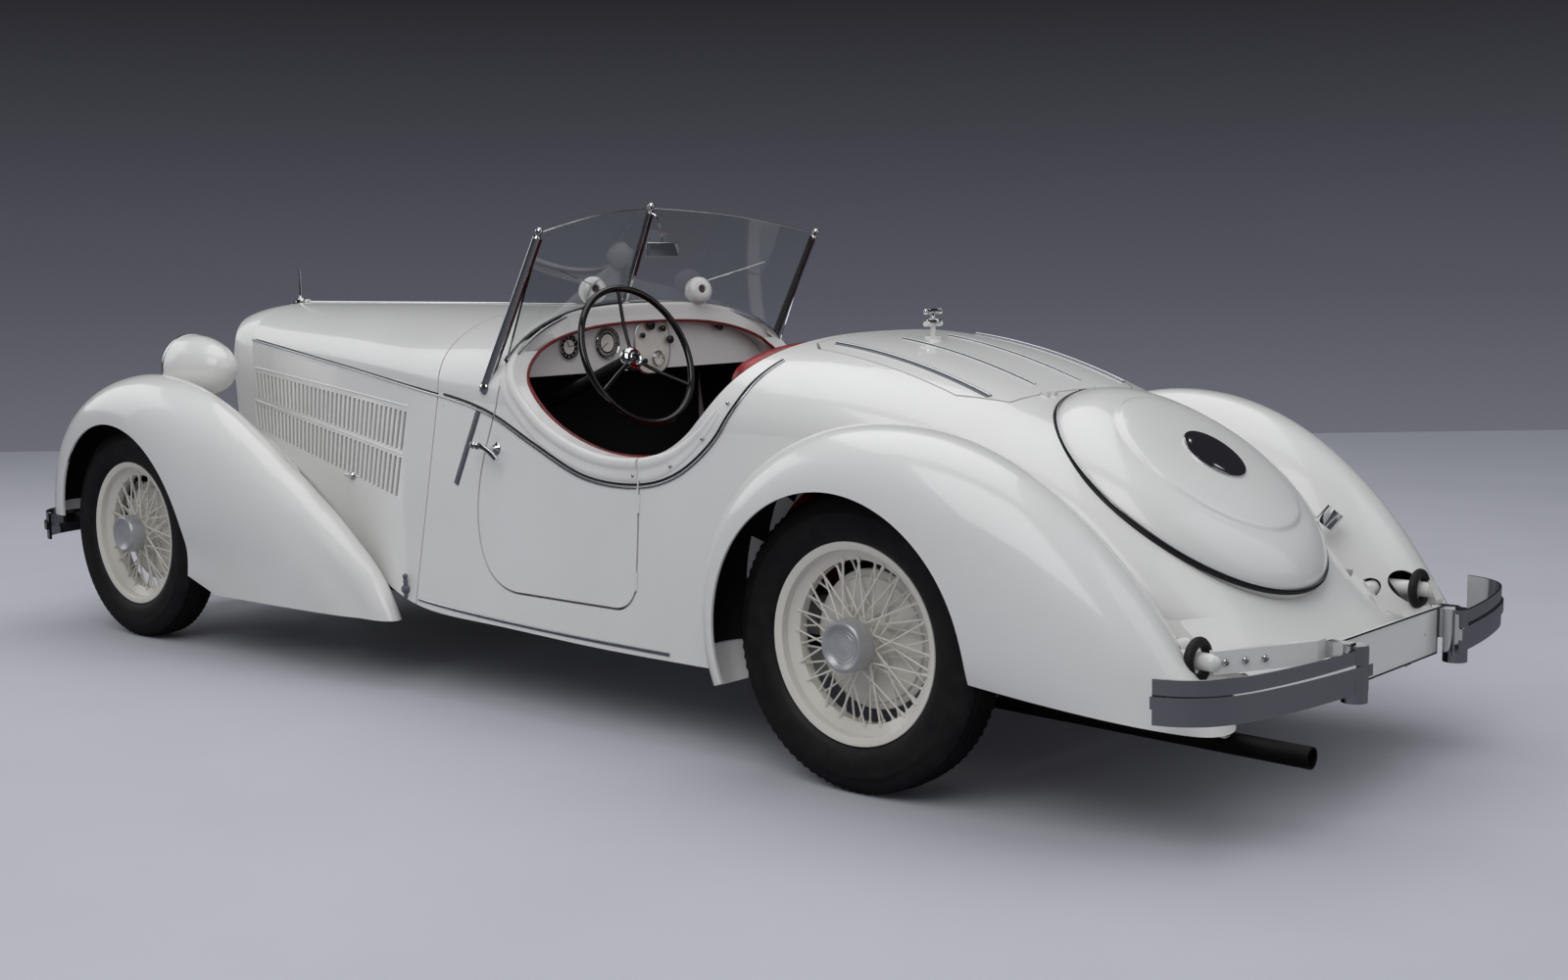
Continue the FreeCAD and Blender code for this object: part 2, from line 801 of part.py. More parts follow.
def shell_form(inset):
    """Solid inside the shell's outline, whose edge falls away towards the nose."""
    places = [(bonnet_front - shell_rim, 0), (bonnet_front, 0),
              (shell_side, shell_fall / 4), (shell_nose, shell_fall)]
    wires = []
    for x, fall in places:
        wire = shell_outline(inset + fall)
        wire.translate(Vector(x, 0, 0))
        wires.append(wire)
    return Part.makeLoft(wires, True)


def nose_prism(set_back):
    """Plan of the shell's pointed front, leaning back towards its top."""
    nose = shell_nose - set_back
    side = shell_side - set_back
    wide = sill_half_width / 2
    rear = bonnet_front + panel_gap / 2
    wire = polygon([
        Vector(rear, -wide, 0), Vector(side, -wide, 0), Vector(nose, 0, 0),
        Vector(side, wide, 0), Vector(rear, wide, 0),
    ])
    face = Part.Face(wire)
    face.translate(Vector(0, 0, shell_foot_height - shell_foot_room))
    leaning = face.extrude(Vector(-shell_lean, 0, body_height))
    return leaning.cut(box(0, rear, -overrun, overrun, 0, overrun * 4))


def shell_bearings(outer):
    """Lug that ends the bonnet's hinge, and the foot that stands on the upper cross arm."""
    start, end = hinge_line(outer)
    ahead = Vector(1, 0, 0)
    lug = rod(end + ahead * seat_gap, end + ahead * (3 * hinge_rod_radius), 2 * hinge_rod_radius)
    arm_top = kingpin_top + arm_thickness + 2 * seat_gap
    foot = box(bonnet_front + panel_gap / 2, front_axle_x + arm_half_width, -shell_foot_room,
               shell_foot_room, arm_top, shell_foot_height + shell_rim / 2)
    return [lug, foot]


def radiator_shell(outer):
    shell = shell_form(0).common(nose_prism(0)).cut(shell_form(shell_rim))
    shell = shell.fuse(shell_bearings(outer))
    foot = Vector(finial_x, 0, finial_foot_height)
    up = Vector(0, 0, 1)
    disc = Part.makeCylinder(finial_disc_radius, finial_disc_height, foot, up)
    bell = Part.makeCone(finial_radius, finial_radius / 3, finial_radius,
                         foot + up * finial_disc_height, up)
    stem = Part.makeCylinder(finial_rod_radius, finial_height, foot, up)
    return shell.fuse([disc, bell, stem])


def radiator_grille():
    """Upright bars between the shell's sides, tied by the core behind them."""
    hole = shell_form(shell_rim + 3 * seat_gap)
    front = nose_prism(grille_set_back)
    back = nose_prism(grille_set_back + grille_bar_depth)
    blade = front.cut(back)
    bars = []
    count = int(sill_half_width * 0.34 / grille_bar_pitch)
    for index in range(-count, count + 1):
        y = index * grille_bar_pitch
        bars.append(box(bonnet_front, shell_nose, y - grille_bar / 2, y + grille_bar / 2,
                        0, body_height * 2))
    slats = blade.common(Part.makeCompound(bars)).common(hole)
    core_block = box(bonnet_front + core_set_back, shell_nose, -overrun, overrun, 0, overrun * 4)
    core = back.common(core_block).common(hole)
    return core.fuse(slats.Solids)


# Fenders: open shells lofted between planes that fan round the wheel's axis
def fender_section(row, wheel_x, arch_radius):
    angle, crown_r, inner, crown, outer, power, fall = row
    theta = math.radians(angle)
    crown_r = crown_r * fender_half_width
    inner_y = inner * fender_half_width
    crown_y = crown * fender_half_width
    outer_y = outer * fender_half_width

    def place(radius, y):
        return Vector(wheel_x + radius * math.cos(theta), y, axle_height + radius * math.sin(theta))

    def outline(wall):
        points = []
        rise = crown_r - arch_radius
        for step in range(7):
            turn = math.pi / 2 * step / 6
            radius = arch_radius + (rise - wall) * math.sin(turn) ** (2 / outer_fullness)
            y = crown_y + (outer_y - crown_y - wall) * math.cos(turn) ** (2 / outer_fullness)
            points.append((radius, y))
        for step in range(1, 7):
            share = step / 6
            drop = 0.5 - 0.5 * math.cos(math.pi * share ** power)
            radius = crown_r - wall - fender_inner_drop * fall * drop
            points.append((radius, crown_y - (crown_y - inner_y) * share))
        return [place(radius, y) for radius, y in points]

    skin = outline(0)
    lining = outline(fender_wall)
    return Part.Wire([
        spline(skin),
        Part.makeLine(skin[-1], lining[-1]),
        spline(list(reversed(lining))),
        Part.makeLine(lining[0], skin[0]),
    ])


def fender(rows, wheel_x, arch_radius, outer, low_cut):
    sections = [fender_section(row, wheel_x, arch_radius) for row in rows]
    shell = Part.makeLoft(sections, True)
    return shell.cut([outer] + low_cut)


def front_fender(outer):
    low = box(0, wheelbase * 2, 0, overrun * 3, -overrun, fender_skirt_height)
    nose = box(front_axle_x, wheelbase * 2, 0, overrun * 3, -overrun, front_skirt_height)
    return fender(front_fender_shares, front_axle_x, front_arch_radius, outer, [low, nose])


def rear_fender(outer):
    low = box(-wheelbase, wheelbase, 0, overrun * 3, -overrun, fender_skirt_height)
    hole = rod(Vector(rail_rear, bumper_arm_y, bumper_arm_height),
               Vector(-rear_reach, bumper_arm_y, bumper_arm_height), bumper_arm_hole)
    post_x = rail_rear + rail_width / 2
    cross_hole = rod(Vector(post_x, rail_y, bumper_arm_height),
                     Vector(post_x, bumper_arm_y, bumper_arm_height), bumper_arm_radius + door_gap)
    return fender(rear_fender_shares, 0, rear_arch_radius, outer, [low, hole, cross_hole])


# Wheels
def tyre(x, side):
    half = tyre_half_width
    bead = rim_radius - bead_depth + seat_gap
    inside = rim_half_width - rim_wall - seat_gap
    profile = [
        Vector(bead, 0, -inside), Vector(rim_radius, 0, -inside),
        Vector(rim_radius + bead_depth, 0, -half * 0.80), Vector(bead + tyre_bead_rise, 0, -half),
        Vector(tyre_radius - tyre_shoulder, 0, -half * 0.86),
        Vector(tyre_radius - tread_fall, 0, -half * 0.62), Vector(tyre_radius, 0, -half * 0.30),
        Vector(tyre_radius, 0, half * 0.30), Vector(tyre_radius - tread_fall, 0, half * 0.62),
        Vector(tyre_radius - tyre_shoulder, 0, half * 0.86), Vector(bead + tyre_bead_rise, 0, half),
        Vector(rim_radius + bead_depth, 0, half * 0.80), Vector(rim_radius, 0, inside),
        Vector(bead, 0, inside),
    ]
    return put_wheel(revolved(profile, Vector(0, 0, 0), Vector(0, 0, 1)), x, side)


def put_wheel(shape, x, side):
    """Stand a turned piece, drawn about +Z, on its axle with its face outwards."""
    turn = FreeCAD.Rotation(Vector(0, 0, 1), Vector(0, side, 0))
    place = FreeCAD.Placement(Vector(x, side * track / 2, axle_height), turn)
    moved = shape.copy()
    moved.Placement = place
    return moved


def rim():
    half = rim_half_width
    bead = rim_radius - bead_depth
    well = bead - rim_well_depth
    outline = [
        Vector(rim_radius, 0, -half), Vector(rim_radius, 0, -half + rim_wall),
        Vector(bead, 0, -half + rim_wall), Vector(bead, 0, -half * 0.5),
        Vector(well, 0, -half * 0.3), Vector(well, 0, half * 0.3),
        Vector(bead, 0, half * 0.5), Vector(bead, 0, half - rim_wall),
        Vector(rim_radius, 0, half - rim_wall), Vector(rim_radius, 0, half),
        Vector(bead - rim_wall, 0, half), Vector(bead - rim_wall, 0, half * 0.5),
        Vector(well - rim_wall, 0, half * 0.28), Vector(well - rim_wall, 0, -half * 0.28),
        Vector(bead - rim_wall, 0, -half * 0.5), Vector(bead - rim_wall, 0, -half),
    ]
    return revolved(outline, Vector(0, 0, 0), Vector(0, 0, 1))


def hub_and_drum():
    """Hub shell with its dished cap, and the brake drum behind the spokes."""
    bore = stub_radius + bearing_clearance
    out = hub_half_width
    drum_front = -rim_half_width * 0.55
    outline = [
        Vector(bore, 0, drum_front - drum_depth), Vector(drum_radius, 0, drum_front - drum_depth),
        Vector(drum_radius, 0, drum_front), Vector(hub_radius * 1.27, 0, drum_front + drum_face),
        Vector(hub_radius, 0, drum_front + 2 * drum_face), Vector(hub_radius, 0, out * 0.55),
        Vector(cap_radius, 0, out * 0.62), Vector(cap_radius, 0, out),
        Vector(cap_radius * 0.86, 0, out + cap_height * 0.5),
        Vector(cap_radius * 0.55, 0, out + cap_height * 0.5 - cap_dish),
        Vector(cap_radius * 0.3, 0, out + cap_height * 0.5 - cap_dish),
        Vector(0, 0, out + cap_height * 0.62 - cap_dish),
        Vector(0, 0, out * 0.4), Vector(bore, 0, out * 0.4),
    ]
    return revolved(outline, Vector(0, 0, 0), Vector(0, 0, 1))


def spokes():
    """Crossed wire spokes from the hub to the rim's well, each clear of the next."""
    rods = []
    out = rim_radius - bead_depth - rim_well_depth - rim_wall / 2
    rows = [
        (hub_radius * 0.88, hub_half_width * 0.40, rim_half_width * 0.2, 1),
        (hub_radius * 0.88, hub_half_width * 0.22, 0, -1),
        (hub_radius * 0.96, -rim_half_width * 0.18, -rim_half_width * 0.2, 1),
    ]
    for row, (hub_r, hub_z, rim_z, turn) in enumerate(rows):
        for index in range(spokes_per_row):
            side = -1 if index % 2 else 1
            base = 2 * math.pi * (index + row / 3) / spokes_per_row
            cross = -math.radians(spoke_cross_deg) * side * turn
            aside = side * spoke_radius * 1.25
            start = Vector(hub_r * math.cos(base), hub_r * math.sin(base), hub_z + aside)
            end = Vector(out * math.cos(base + cross), out * math.sin(base + cross), rim_z + aside)
            rods.append(rod(start, end, spoke_radius))
    return rods


def wheel_core():
    return rim().fuse([hub_and_drum()] + spokes())


# Running gear
def chassis_frame():
    """Two box rails, their cross members and the bumper brackets."""
    pieces = []
    outer_y = rail_y + rail_width / 2
    inner_y = rail_y - rail_width / 2
    top = rail_foot + rail_height
    for side in (-1, 1):
        y0, y1 = sorted((side * inner_y, side * outer_y))
        pieces.append(box(rail_rear, rail_front, y0, y1, rail_foot, top))
    for x in (rail_rear, seat_cross_x, cowl_cross_x, engine_rear - 2 * rail_width, rail_front - 2 * rail_width):
        pieces.append(box(x, x + rail_width, -inner_y, inner_y,
                          rail_foot + cross_inset, top - cross_inset))
    frame = pieces[0].fuse(pieces[1:])
    x = rail_front - rail_width / 2
    for side in (-1, 1):
        inside = Vector(x, side * (inner_y - rail_width), tow_hole_height)
        outside = Vector(x, side * (outer_y + rail_width), tow_hole_height)
        frame = frame.cut(rod(inside, outside, tow_hole_radius))
    return frame.removeSplitter()


def front_suspension():
    """Upper and lower cross arms with the king pins that carry the knuckles."""
    reach = kingpin_y
    x = front_axle_x
    lower_top = kingpin_foot - seat_gap
    upper_foot = kingpin_top + seat_gap
    lower = box(x - arm_half_width, x + arm_half_width, -reach, reach,
                lower_top - arm_thickness, lower_top)
    upper = box(x - arm_half_width, x + arm_half_width, -reach, reach,
                upper_foot, upper_foot + arm_thickness)
    for side in (-1, 1):
        foot = Vector(x, side * kingpin_y, lower_top)
        eye = rod(foot, foot - Vector(0, 0, arm_thickness), arm_eye_radius)
        lower = lower.fuse([eye, rod(foot, foot + Vector(0, 0, arm_pin_depth), arm_pin_radius)])
        head = Vector(x, side * kingpin_y, upper_foot)
        eye = rod(head, head + Vector(0, 0, arm_thickness), arm_eye_radius)
        upper = upper.fuse([eye, rod(head, head - Vector(0, 0, arm_pin_depth), arm_pin_radius)])
    tower = box(x - arm_half_width, x + arm_half_width, -engine_half_width, engine_half_width,
                lower_top, upper_foot)
    return lower.fuse([upper, tower]).cut(chassis_frame())


def knuckle(side):
    """Upright on the king pin, with the stub axle that the wheel turns on."""
    y = side * kingpin_y
    x = front_axle_x
    upright = Part.makeCylinder(kingpin_radius, kingpin_top - kingpin_foot,
                                Vector(x, y, kingpin_foot))
    hole_radius = arm_pin_radius + bearing_clearance
    depth = arm_pin_depth + 3 * seat_gap
    for z in (kingpin_foot, kingpin_top - depth):
        upright = upright.cut(Part.makeCylinder(hole_radius, depth, Vector(x, y, z)))
    end = side * (track / 2 + hub_half_width * 0.37)
    stub = rod(Vector(x, y, axle_height), Vector(x, end, axle_height), stub_radius)
    shoulder = side * (track / 2 - rim_half_width * 0.55 - drum_depth - seat_gap)
    collar = rod(Vector(x, y, axle_height), Vector(x, shoulder, axle_height), collar_radius)
    return upright.fuse([stub, collar]).removeSplitter()


def rear_axle():
    end = track / 2 + hub_half_width * 0.37
    shoulder = track / 2 - rim_half_width * 0.55 - drum_depth - seat_gap
    beam = rod(Vector(0, -shoulder, axle_height), Vector(0, shoulder, axle_height), axle_radius)
    stub = rod(Vector(0, -end, axle_height), Vector(0, end, axle_height), stub_radius)
    return beam.fuse(stub).removeSplitter()


def engine_block():
    """Block, head and sump with ports to a manifold on each side, on two bearers."""
    half = engine_half_width
    deck = engine_top - (engine_top - engine_foot) * 0.16
    block = box(engine_rear, engine_front, -half * 0.62, half * 0.62, engine_foot, deck)
    head = box(engine_rear + half / 3, engine_front - half / 3, -half * 0.42, half * 0.42,
               deck, engine_top)
    sump = box(engine_rear, engine_front - half, -half * 0.5, half * 0.5,
               rail_foot, engine_foot)
    ports = []
    for index in range(engine_ports):
        x = engine_rear + (engine_front - engine_rear) * (index + 0.5) / engine_ports
        ports.append(rod(Vector(x, -half, deck - half / 2), Vector(x, half, deck - half / 2), half / 8))
    for side in (-1, 1):
        ports.append(rod(Vector(engine_rear + half / 3, side * half * 0.86, deck - half / 2),
                         Vector(engine_front - half / 3, side * half * 0.86, deck - half / 2), half / 7))
    foot = rail_foot + rail_height + seat_gap
    bearers = [box(x - bearer_width / 2, x + bearer_width / 2, -rail_y, rail_y,
                   foot, foot + bearer_thickness) for x in (engine_rear + half, engine_front - half)]
    return block.fuse([head, sump] + ports + bearers)


# Cabin fittings
def dash_panel(outer):
    wall = outer.common(box(dash_x, dash_x + dash_thickness, -overrun * 2, overrun * 2,
                            dash_foot_height, overrun * 4))
    inside = hull(body_wall + 2 * seat_gap)
    return wall.common(inside)


def seat_cushion():
    return box(seat_rear + seat_back_thickness, seat_front, -seat_half_width, seat_half_width,
               floor_height + floor_thickness + seat_gap, seat_height)


def seat_back():
    """Upright of the bench, leaning back, with rounded shoulders."""
    foot = floor_height + floor_thickness + seat_gap
    front = seat_rear + seat_back_thickness - seat_gap
    lean = seat_back_thickness / 2
    wire = polygon([
        Vector(seat_rear + lean, 0, foot), Vector(front, 0, foot), Vector(front, 0, seat_height),
        Vector(front - lean / 2, 0, seat_back_height), Vector(seat_rear + lean / 3, 0, seat_back_height),
        Vector(seat_rear + lean / 3, 0, seat_height),
    ])
    corner = seat_back_thickness / 2
    half = seat_half_width
    front_view = polygon([
        Vector(0, -half, foot), Vector(0, half, foot), Vector(0, half, seat_back_height - corner),
        Vector(0, half - corner, seat_back_height), Vector(0, corner - half, seat_back_height),
        Vector(0, -half, seat_back_height - corner),
    ])
    width = Part.Face(front_view).extrude(Vector(wheelbase, 0, 0))
    return side_prism(wire, -half, half).common(width)


def steering_axis():
    tilt = math.radians(steering_tilt_deg)
    return Vector(-math.cos(tilt), 0, math.sin(tilt))


def steering_wheel():
    axis = steering_axis()
    centre = Vector(steering_x, steering_y, steering_height)
    ring = Part.makeTorus(steering_radius - steering_rim, steering_rim, centre, axis)
    dish = centre - axis * steering_dish
    boss = rod(dish - axis * (steering_boss_depth * 0.4), dish + axis * (steering_boss_depth * 0.6),
               steering_boss)
    pieces = [boss]
    across = Vector(0, 1, 0)
    up = axis.cross(across)
    for degrees in (90, 210, 330):
        turn = math.radians(degrees)
        way = across * math.cos(turn) + up * math.sin(turn)
        inner = dish + way * (steering_boss * 0.7)
        pieces.append(rod(inner, centre + way * (steering_radius - steering_rim), steering_spoke))
    return ring.fuse(pieces).removeSplitter()


def steering_column():
    axis = steering_axis()
    centre = Vector(steering_x, steering_y, steering_height) - axis * steering_dish
    start = centre - axis * (steering_boss_depth * 0.4 + seat_gap)
    shaft = rod(start, start - axis * (cowl_front - start.x), column_radius)
    return shaft.cut(box(cowl_front - firewall, wheelbase, 0, overrun * 2, 0, body_height))


# Windscreen in two flat panes that meet at a centre post
def screen_points():
    top_centre = Vector(screen_top_x, 0, screen_top_height)
    foot_centre = Vector(screen_foot_x, 0, screen_foot_height)
    top_side = Vector(screen_side_x, screen_side_half_width, screen_side_height)
    rake = foot_centre - top_centre
    foot_side = top_side + rake * 1.35
    return top_centre, foot_centre, top_side, foot_side


def behind_screen(gap):
    """Everything on the left that lies behind the plane of the glass."""
    top_centre, foot_centre, top_side, foot_side = screen_points()
    rake = foot_centre - top_centre
    across = (top_side - top_centre) * (fender_half_width / screen_side_half_width)
    high = top_centre - rake
    low = foot_centre + rake * 4
    face = Part.Face(polygon([high, high + across, low + across, low]))
    face.translate(Vector(-gap, 0, 0))
    return face.extrude(Vector(-2 * wheelbase, 0, 0))


def screen_pane(outer_lifted, frame):
    top_centre, foot_centre, top_side, foot_side = screen_points()
    across = (top_side - top_centre).normalize()
    inset = post_radius * 0.6
    low = (foot_centre - top_centre) * 0.4
    crown = (top_centre + top_side) * 0.5 + (top_centre - foot_centre).normalize() * glass_crown
    arc = Part.Arc(top_centre + across * inset, crown, top_side - across * inset).toShape()
    a = top_centre + across * inset
    b = top_side - across * inset
    c = foot_side - across * inset + low
    d = foot_centre + across * inset + low
    wire = Part.Wire([arc, Part.makeLine(b, c), Part.makeLine(c, d), Part.makeLine(d, a)])
    normal = across.cross(foot_centre - top_centre).normalize()
    face = Part.Face(wire)
    face.translate(normal * (-glass_thickness / 2))
    pane = face.extrude(normal * glass_thickness)
    return pane.cut([outer_lifted, frame])


def windscreen_frame(outer):
    top_centre, foot_centre, top_side, foot_side = screen_points()
    down = (foot_centre - top_centre).normalize()
    post = rod(top_centre, foot_centre + down * (5 * post_radius), post_radius)
    knob = Part.makeSphere(knob_radius, top_centre)
    foot_y = side_of_hull(outer, post_foot_x, post_foot_height)
    foot = Vector(post_foot_x, foot_y, post_foot_height)
    side_post = rod(top_side, foot, post_radius)
    side_knob = Part.makeSphere(knob_radius, top_side)
    pad = rod(foot - Vector(0, post_radius, 0), foot + Vector(0, post_radius * 1.3, 0), post_pad_radius)
    left = side_post.fuse([side_knob, pad])
    foot_pad = rod(foot_centre - Vector(0, 0, 3 * post_radius), foot_centre + Vector(0, 0, post_radius),
                   post_pad_radius)
    frame = post.fuse([knob, foot_pad, left, mirrored(left)])
    return frame.cut(outer)


# Lamps and brightwork
def headlamp(fender_shape):
    """Egg shaped shell with a bulging lens, on a short stalk that stands on the fender."""
    front, rear, wide = lamp_front, lamp_rear, lamp_radius
    bowl = [Vector(wide * across, 0, -rear * along) for across, along in lamp_shares]
    lens = [
        Vector(wide, 0, 0), Vector(wide, 0, lamp_rim), Vector(wide * 0.93, 0, lamp_rim),
        Vector(wide * 0.80, 0, front * 0.64), Vector(wide * 0.45, 0, front * 0.91),
        Vector(0, 0, front), Vector(0, 0, -rear),
    ]
    edges = [spline(bowl)] + Part.makePolygon(lens).Edges
    shape = Part.Face(Part.Wire(edges)).revolve(Vector(0, 0, 0), Vector(0, 0, 1), 360)
    turn = FreeCAD.Rotation(Vector(0, 0, 1), Vector(1, 0, 0))
    shape.Placement = FreeCAD.Placement(Vector(lamp_x, lamp_y, lamp_height), turn)
    stalk_x = lamp_x - rear / 3
    stalk = rod(Vector(stalk_x, lamp_y, lamp_stalk_foot), Vector(stalk_x, lamp_y, lamp_height),
                lamp_stalk_radius)
    whole = shape.fuse(stalk).cut(fender_shape)
    return max(whole.Solids, key=lambda solid: solid.Volume)


def blade_plan(centre_x, direction, half_inner, lift):
    """Plan outline of a bumper blade that sweeps back to its tip."""
    back = direction * bumper_tip_set_back
    thick = bumper_thickness + lift
    tip = bumper_tip_y
    outer_points = [
        Vector(centre_x, half_inner, 0),
        Vector(centre_x - back * 0.05, tip * 0.45, 0),
        Vector(centre_x - back * 0.22, tip * 0.74, 0),
        Vector(centre_x - back * 0.52, tip * 0.93, 0),
        Vector(centre_x - back, tip, 0),
    ]
    inner_points = [
        point - Vector(direction * thick * (1 - index / 4), thick * index / 4, 0)
        for index, point in enumerate(outer_points)
    ]
    return outer_points, inner_points


def bumper_blade(centre_x, direction, half_inner):
    outer_points, inner_points = blade_plan(centre_x, direction, half_inner, 0)
    rib_outer = [
        point + Vector(direction * bumper_rib * (1 - index / 4), bumper_rib * index / 4, 0)
        for index, point in enumerate(outer_points)
    ]
    wire = Part.Wire([
        spline(outer_points), Part.makeLine(outer_points[-1], inner_points[-1]),
        spline(list(reversed(inner_points))), Part.makeLine(inner_points[0], outer_points[0]),
    ])
    face = Part.Face(wire)
    face.translate(Vector(0, 0, bumper_foot))
    blade = face.extrude(Vector(0, 0, bumper_height))
    rib_wire = Part.Wire([
        spline(rib_outer), Part.makeLine(rib_outer[-1], inner_points[-1]),
        spline(list(reversed(inner_points))), Part.makeLine(inner_points[0], rib_outer[0]),
    ])
    rib_face = Part.Face(rib_wire)
    rib_face.translate(Vector(0, 0, bumper_foot + (bumper_height - bumper_rib_height) / 2))
    return blade.fuse(rib_face.extrude(Vector(0, 0, bumper_rib_height)))


def bumper_guard(x):
    return Part.makeCylinder(guard_radius, guard_height, Vector(x, guard_y, guard_foot))


def rear_bumper_arm():
    """Arm from the frame, out through the fender and back to the bumper's guard."""
    post_x = rail_rear + rail_width / 2
    height = bumper_arm_height
    foot = rail_foot + rail_height
    half = bumper_arm_radius
    bar_x = -rear_reach + 3 * guard_radius
    post = box(post_x - half, post_x + half, rail_y - half, rail_y + half, foot, height + half)
    inner = Vector(post_x, rail_y, height)
    bend = Vector(post_x, bumper_arm_y, height)
    out = Vector(post_x - 2.2 * rail_width, bumper_arm_y, height)
    end = Vector(bar_x - half, guard_y, height)
    side = (end - out).cross(Vector(0, 0, 1)).normalize() * (half * 0.45)
    lift = Vector(0, 0, 1.3 * half)
    wire = polygon([out + side - lift, out - side - lift, end - side - lift, end + side - lift])
    bar = Part.Face(wire).extrude(lift * 2)
    arm = post.fuse([rod(inner, bend, half), Part.makeSphere(half, bend), rod(bend, out, half),
                     Part.makeSphere(half, out), bar])
    behind = box(-rear_reach - overrun, bar_x + seat_gap, 0, overrun * 2, 0, body_height)
    return arm.cut(behind)


def rear_bumper():
    """Two blades with round guards, and the bar and pads that tie them to the arms."""
    guard = bumper_guard(-rear_reach + guard_radius)
    blade = bumper_blade(-rear_reach + bumper_rib, -1, guard_y - guard_radius)
    bar_x = -rear_reach + 3 * guard_radius
    end_y = guard_y + guard_radius * 0.8
    foot = plate_top - plate_height * 0.65
    top = plate_top - plate_height * 0.35
    tie = box(bar_x - bumper_thickness, bar_x, -end_y, end_y, foot, top)
    pad = box(-rear_reach + guard_radius, bar_x, plate_half_width + seat_gap, end_y,
              foot, bumper_arm_height + bumper_arm_radius)
    left = blade.fuse([guard, pad])
    return left.fuse([mirrored(left), tie])


def front_bumper():
    end = wheelbase + front_reach
    blade = bumper_blade(end - bumper_rib, 1, 0)
    guard = Part.makeCylinder(guard_radius, guard_height, Vector(end - guard_radius, guard_y, guard_foot))
    half = front_arm_width / 2
    foot = rail_foot + rail_height
    arm = box(rail_front - rail_width, end - bumper_rib - bumper_thickness / 4, rail_y - half, rail_y + half,
              foot, foot + front_arm_width)
    left = blade.fuse([guard, arm])
    return left.fuse(mirrored(left)).removeSplitter()


def number_plate():
    x = -rear_reach + 3 * guard_radius - bumper_thickness - plate_thickness
    plate = box(x, x + plate_thickness, -plate_half_width, plate_half_width,
                plate_top - plate_height, plate_top)
    for side in (-1, 1):
        at = Vector(x - plate_thickness, side * plate_hole_half_span, plate_top - plate_height / 2)
        plate = plate.cut(rod(at, at + Vector(3 * plate_thickness, 0, 0), plate_hole_radius))
    return plate


def exhaust_pipe():
    """Open pipe that falls a little towards its rear end."""
    rear = Vector(exhaust_rear, exhaust_y, exhaust_height - exhaust_fall)
    front = Vector(exhaust_front, exhaust_y, exhaust_height)
    along = (front - rear).normalize()
    hole = rod(rear - along * exhaust_radius, front - along * (3 * exhaust_radius),
               exhaust_radius - exhaust_wall)
    hanger_x = rail_rear + rail_width / 2
    hanger = box(hanger_x - exhaust_radius / 2, hanger_x + exhaust_radius / 2, rail_y + rail_width / 2 + seat_gap,
                 exhaust_y, exhaust_height - exhaust_fall / 2, exhaust_height + exhaust_radius)
    return rod(rear, front, exhaust_radius).fuse(hanger).cut(hole)


def filler_cap():
    axis = Vector(*filler_axis_share).normalize()
    foot = Vector(filler_x, filler_y, filler_height)
    return rod(foot, foot + axis * filler_rise, filler_radius)


def build():
    outer = hull(0)
    inner = hull(body_wall, 3, 11)
    bonnet_inner = hull(bonnet_wall)
    lid_inner = hull(lid_wall)
    tub, door = body_tub_and_door(outer, inner)
    roll = coaming(outer)
    side_roll = roll.common(door_prism(-coaming_end_gap))
    room = door_prism(coaming_end_gap)
    skin = bonnet_skin(outer, bonnet_inner)
    lifted = hull(-glass_lift)
    frame = windscreen_frame(outer)
    pane = screen_pane(lifted, frame)
    leaf = bonnet_leaf(skin, outer)
    side = bonnet_side(skin)
    front = front_fender(outer)
    rear = rear_fender(outer)
    lamp = headlamp(front)
    core = wheel_core()
    arm = rear_bumper_arm()
    nodes = {
        "body_tub": tub,
        "door_left": door,
        "door_right": mirrored(door),
        "door_coaming_left": side_roll,
        "door_coaming_right": mirrored(side_roll),
        "cockpit_coaming": roll.cut([room, mirrored(room)]),
        "deck_lid": deck_lid(outer, lid_inner).fuse(lid_handle(outer)),
        "spare_cover": spare_cover(),
        "bonnet_hinge_rod": hinge_rod(outer),
        "bonnet_leaf_left": leaf,
        "bonnet_leaf_right": mirrored(leaf),
        "bonnet_side_left": side,
        "bonnet_side_right": mirrored(side),
        "radiator_shell": radiator_shell(outer),
        "radiator_grille": radiator_grille(),
        "front_fender_left": front,
        "front_fender_right": mirrored(front),
        "rear_fender_left": rear,
        "rear_fender_right": mirrored(rear),
        "windscreen_frame": frame,
        "glass_left": pane,
        "glass_right": mirrored(pane),
        "dash_panel": dash_panel(outer),
        "seat_cushion": seat_cushion(),
        "seat_back": seat_back(),
        "steering_wheel": steering_wheel(),
        "steering_column": steering_column(),
        "chassis_frame": chassis_frame(),
        "front_suspension": front_suspension(),
        "knuckle_left": knuckle(1),
        "knuckle_right": knuckle(-1),
        "rear_axle": rear_axle(),
        "engine_block": engine_block(),
        "headlamp_left": lamp,
        "headlamp_right": mirrored(lamp),
        "front_bumper": front_bumper(),
        "rear_bumper": rear_bumper(),
        "bumper_arm_left": arm,
        "bumper_arm_right": mirrored(arm),
        "number_plate": number_plate(),
        "exhaust_pipe": exhaust_pipe(),
        "filler_cap": filler_cap(),
    }
    for end, x in (("front", front_axle_x), ("rear", 0)):
        for name, side_sign in (("left", 1), ("right", -1)):
            nodes["tyre_" + end + "_" + name] = tyre(x, side_sign)
            nodes["wheel_" + end + "_" + name] = put_wheel(core, x, side_sign)
    return nodes


for node, shape in build().items():
    moved = shape.copy()
    moved.translate(Vector(-origin_x, 0, 0))
    moved.exportStep("parts/" + node + ".step")
    print(node, moved.isValid(), len(moved.Solids), round(moved.Volume / 1e6, 3))
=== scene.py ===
import math

import bmesh
import bpy
from mathutils import Matrix, Vector
from mathutils.bvhtree import BVHTree


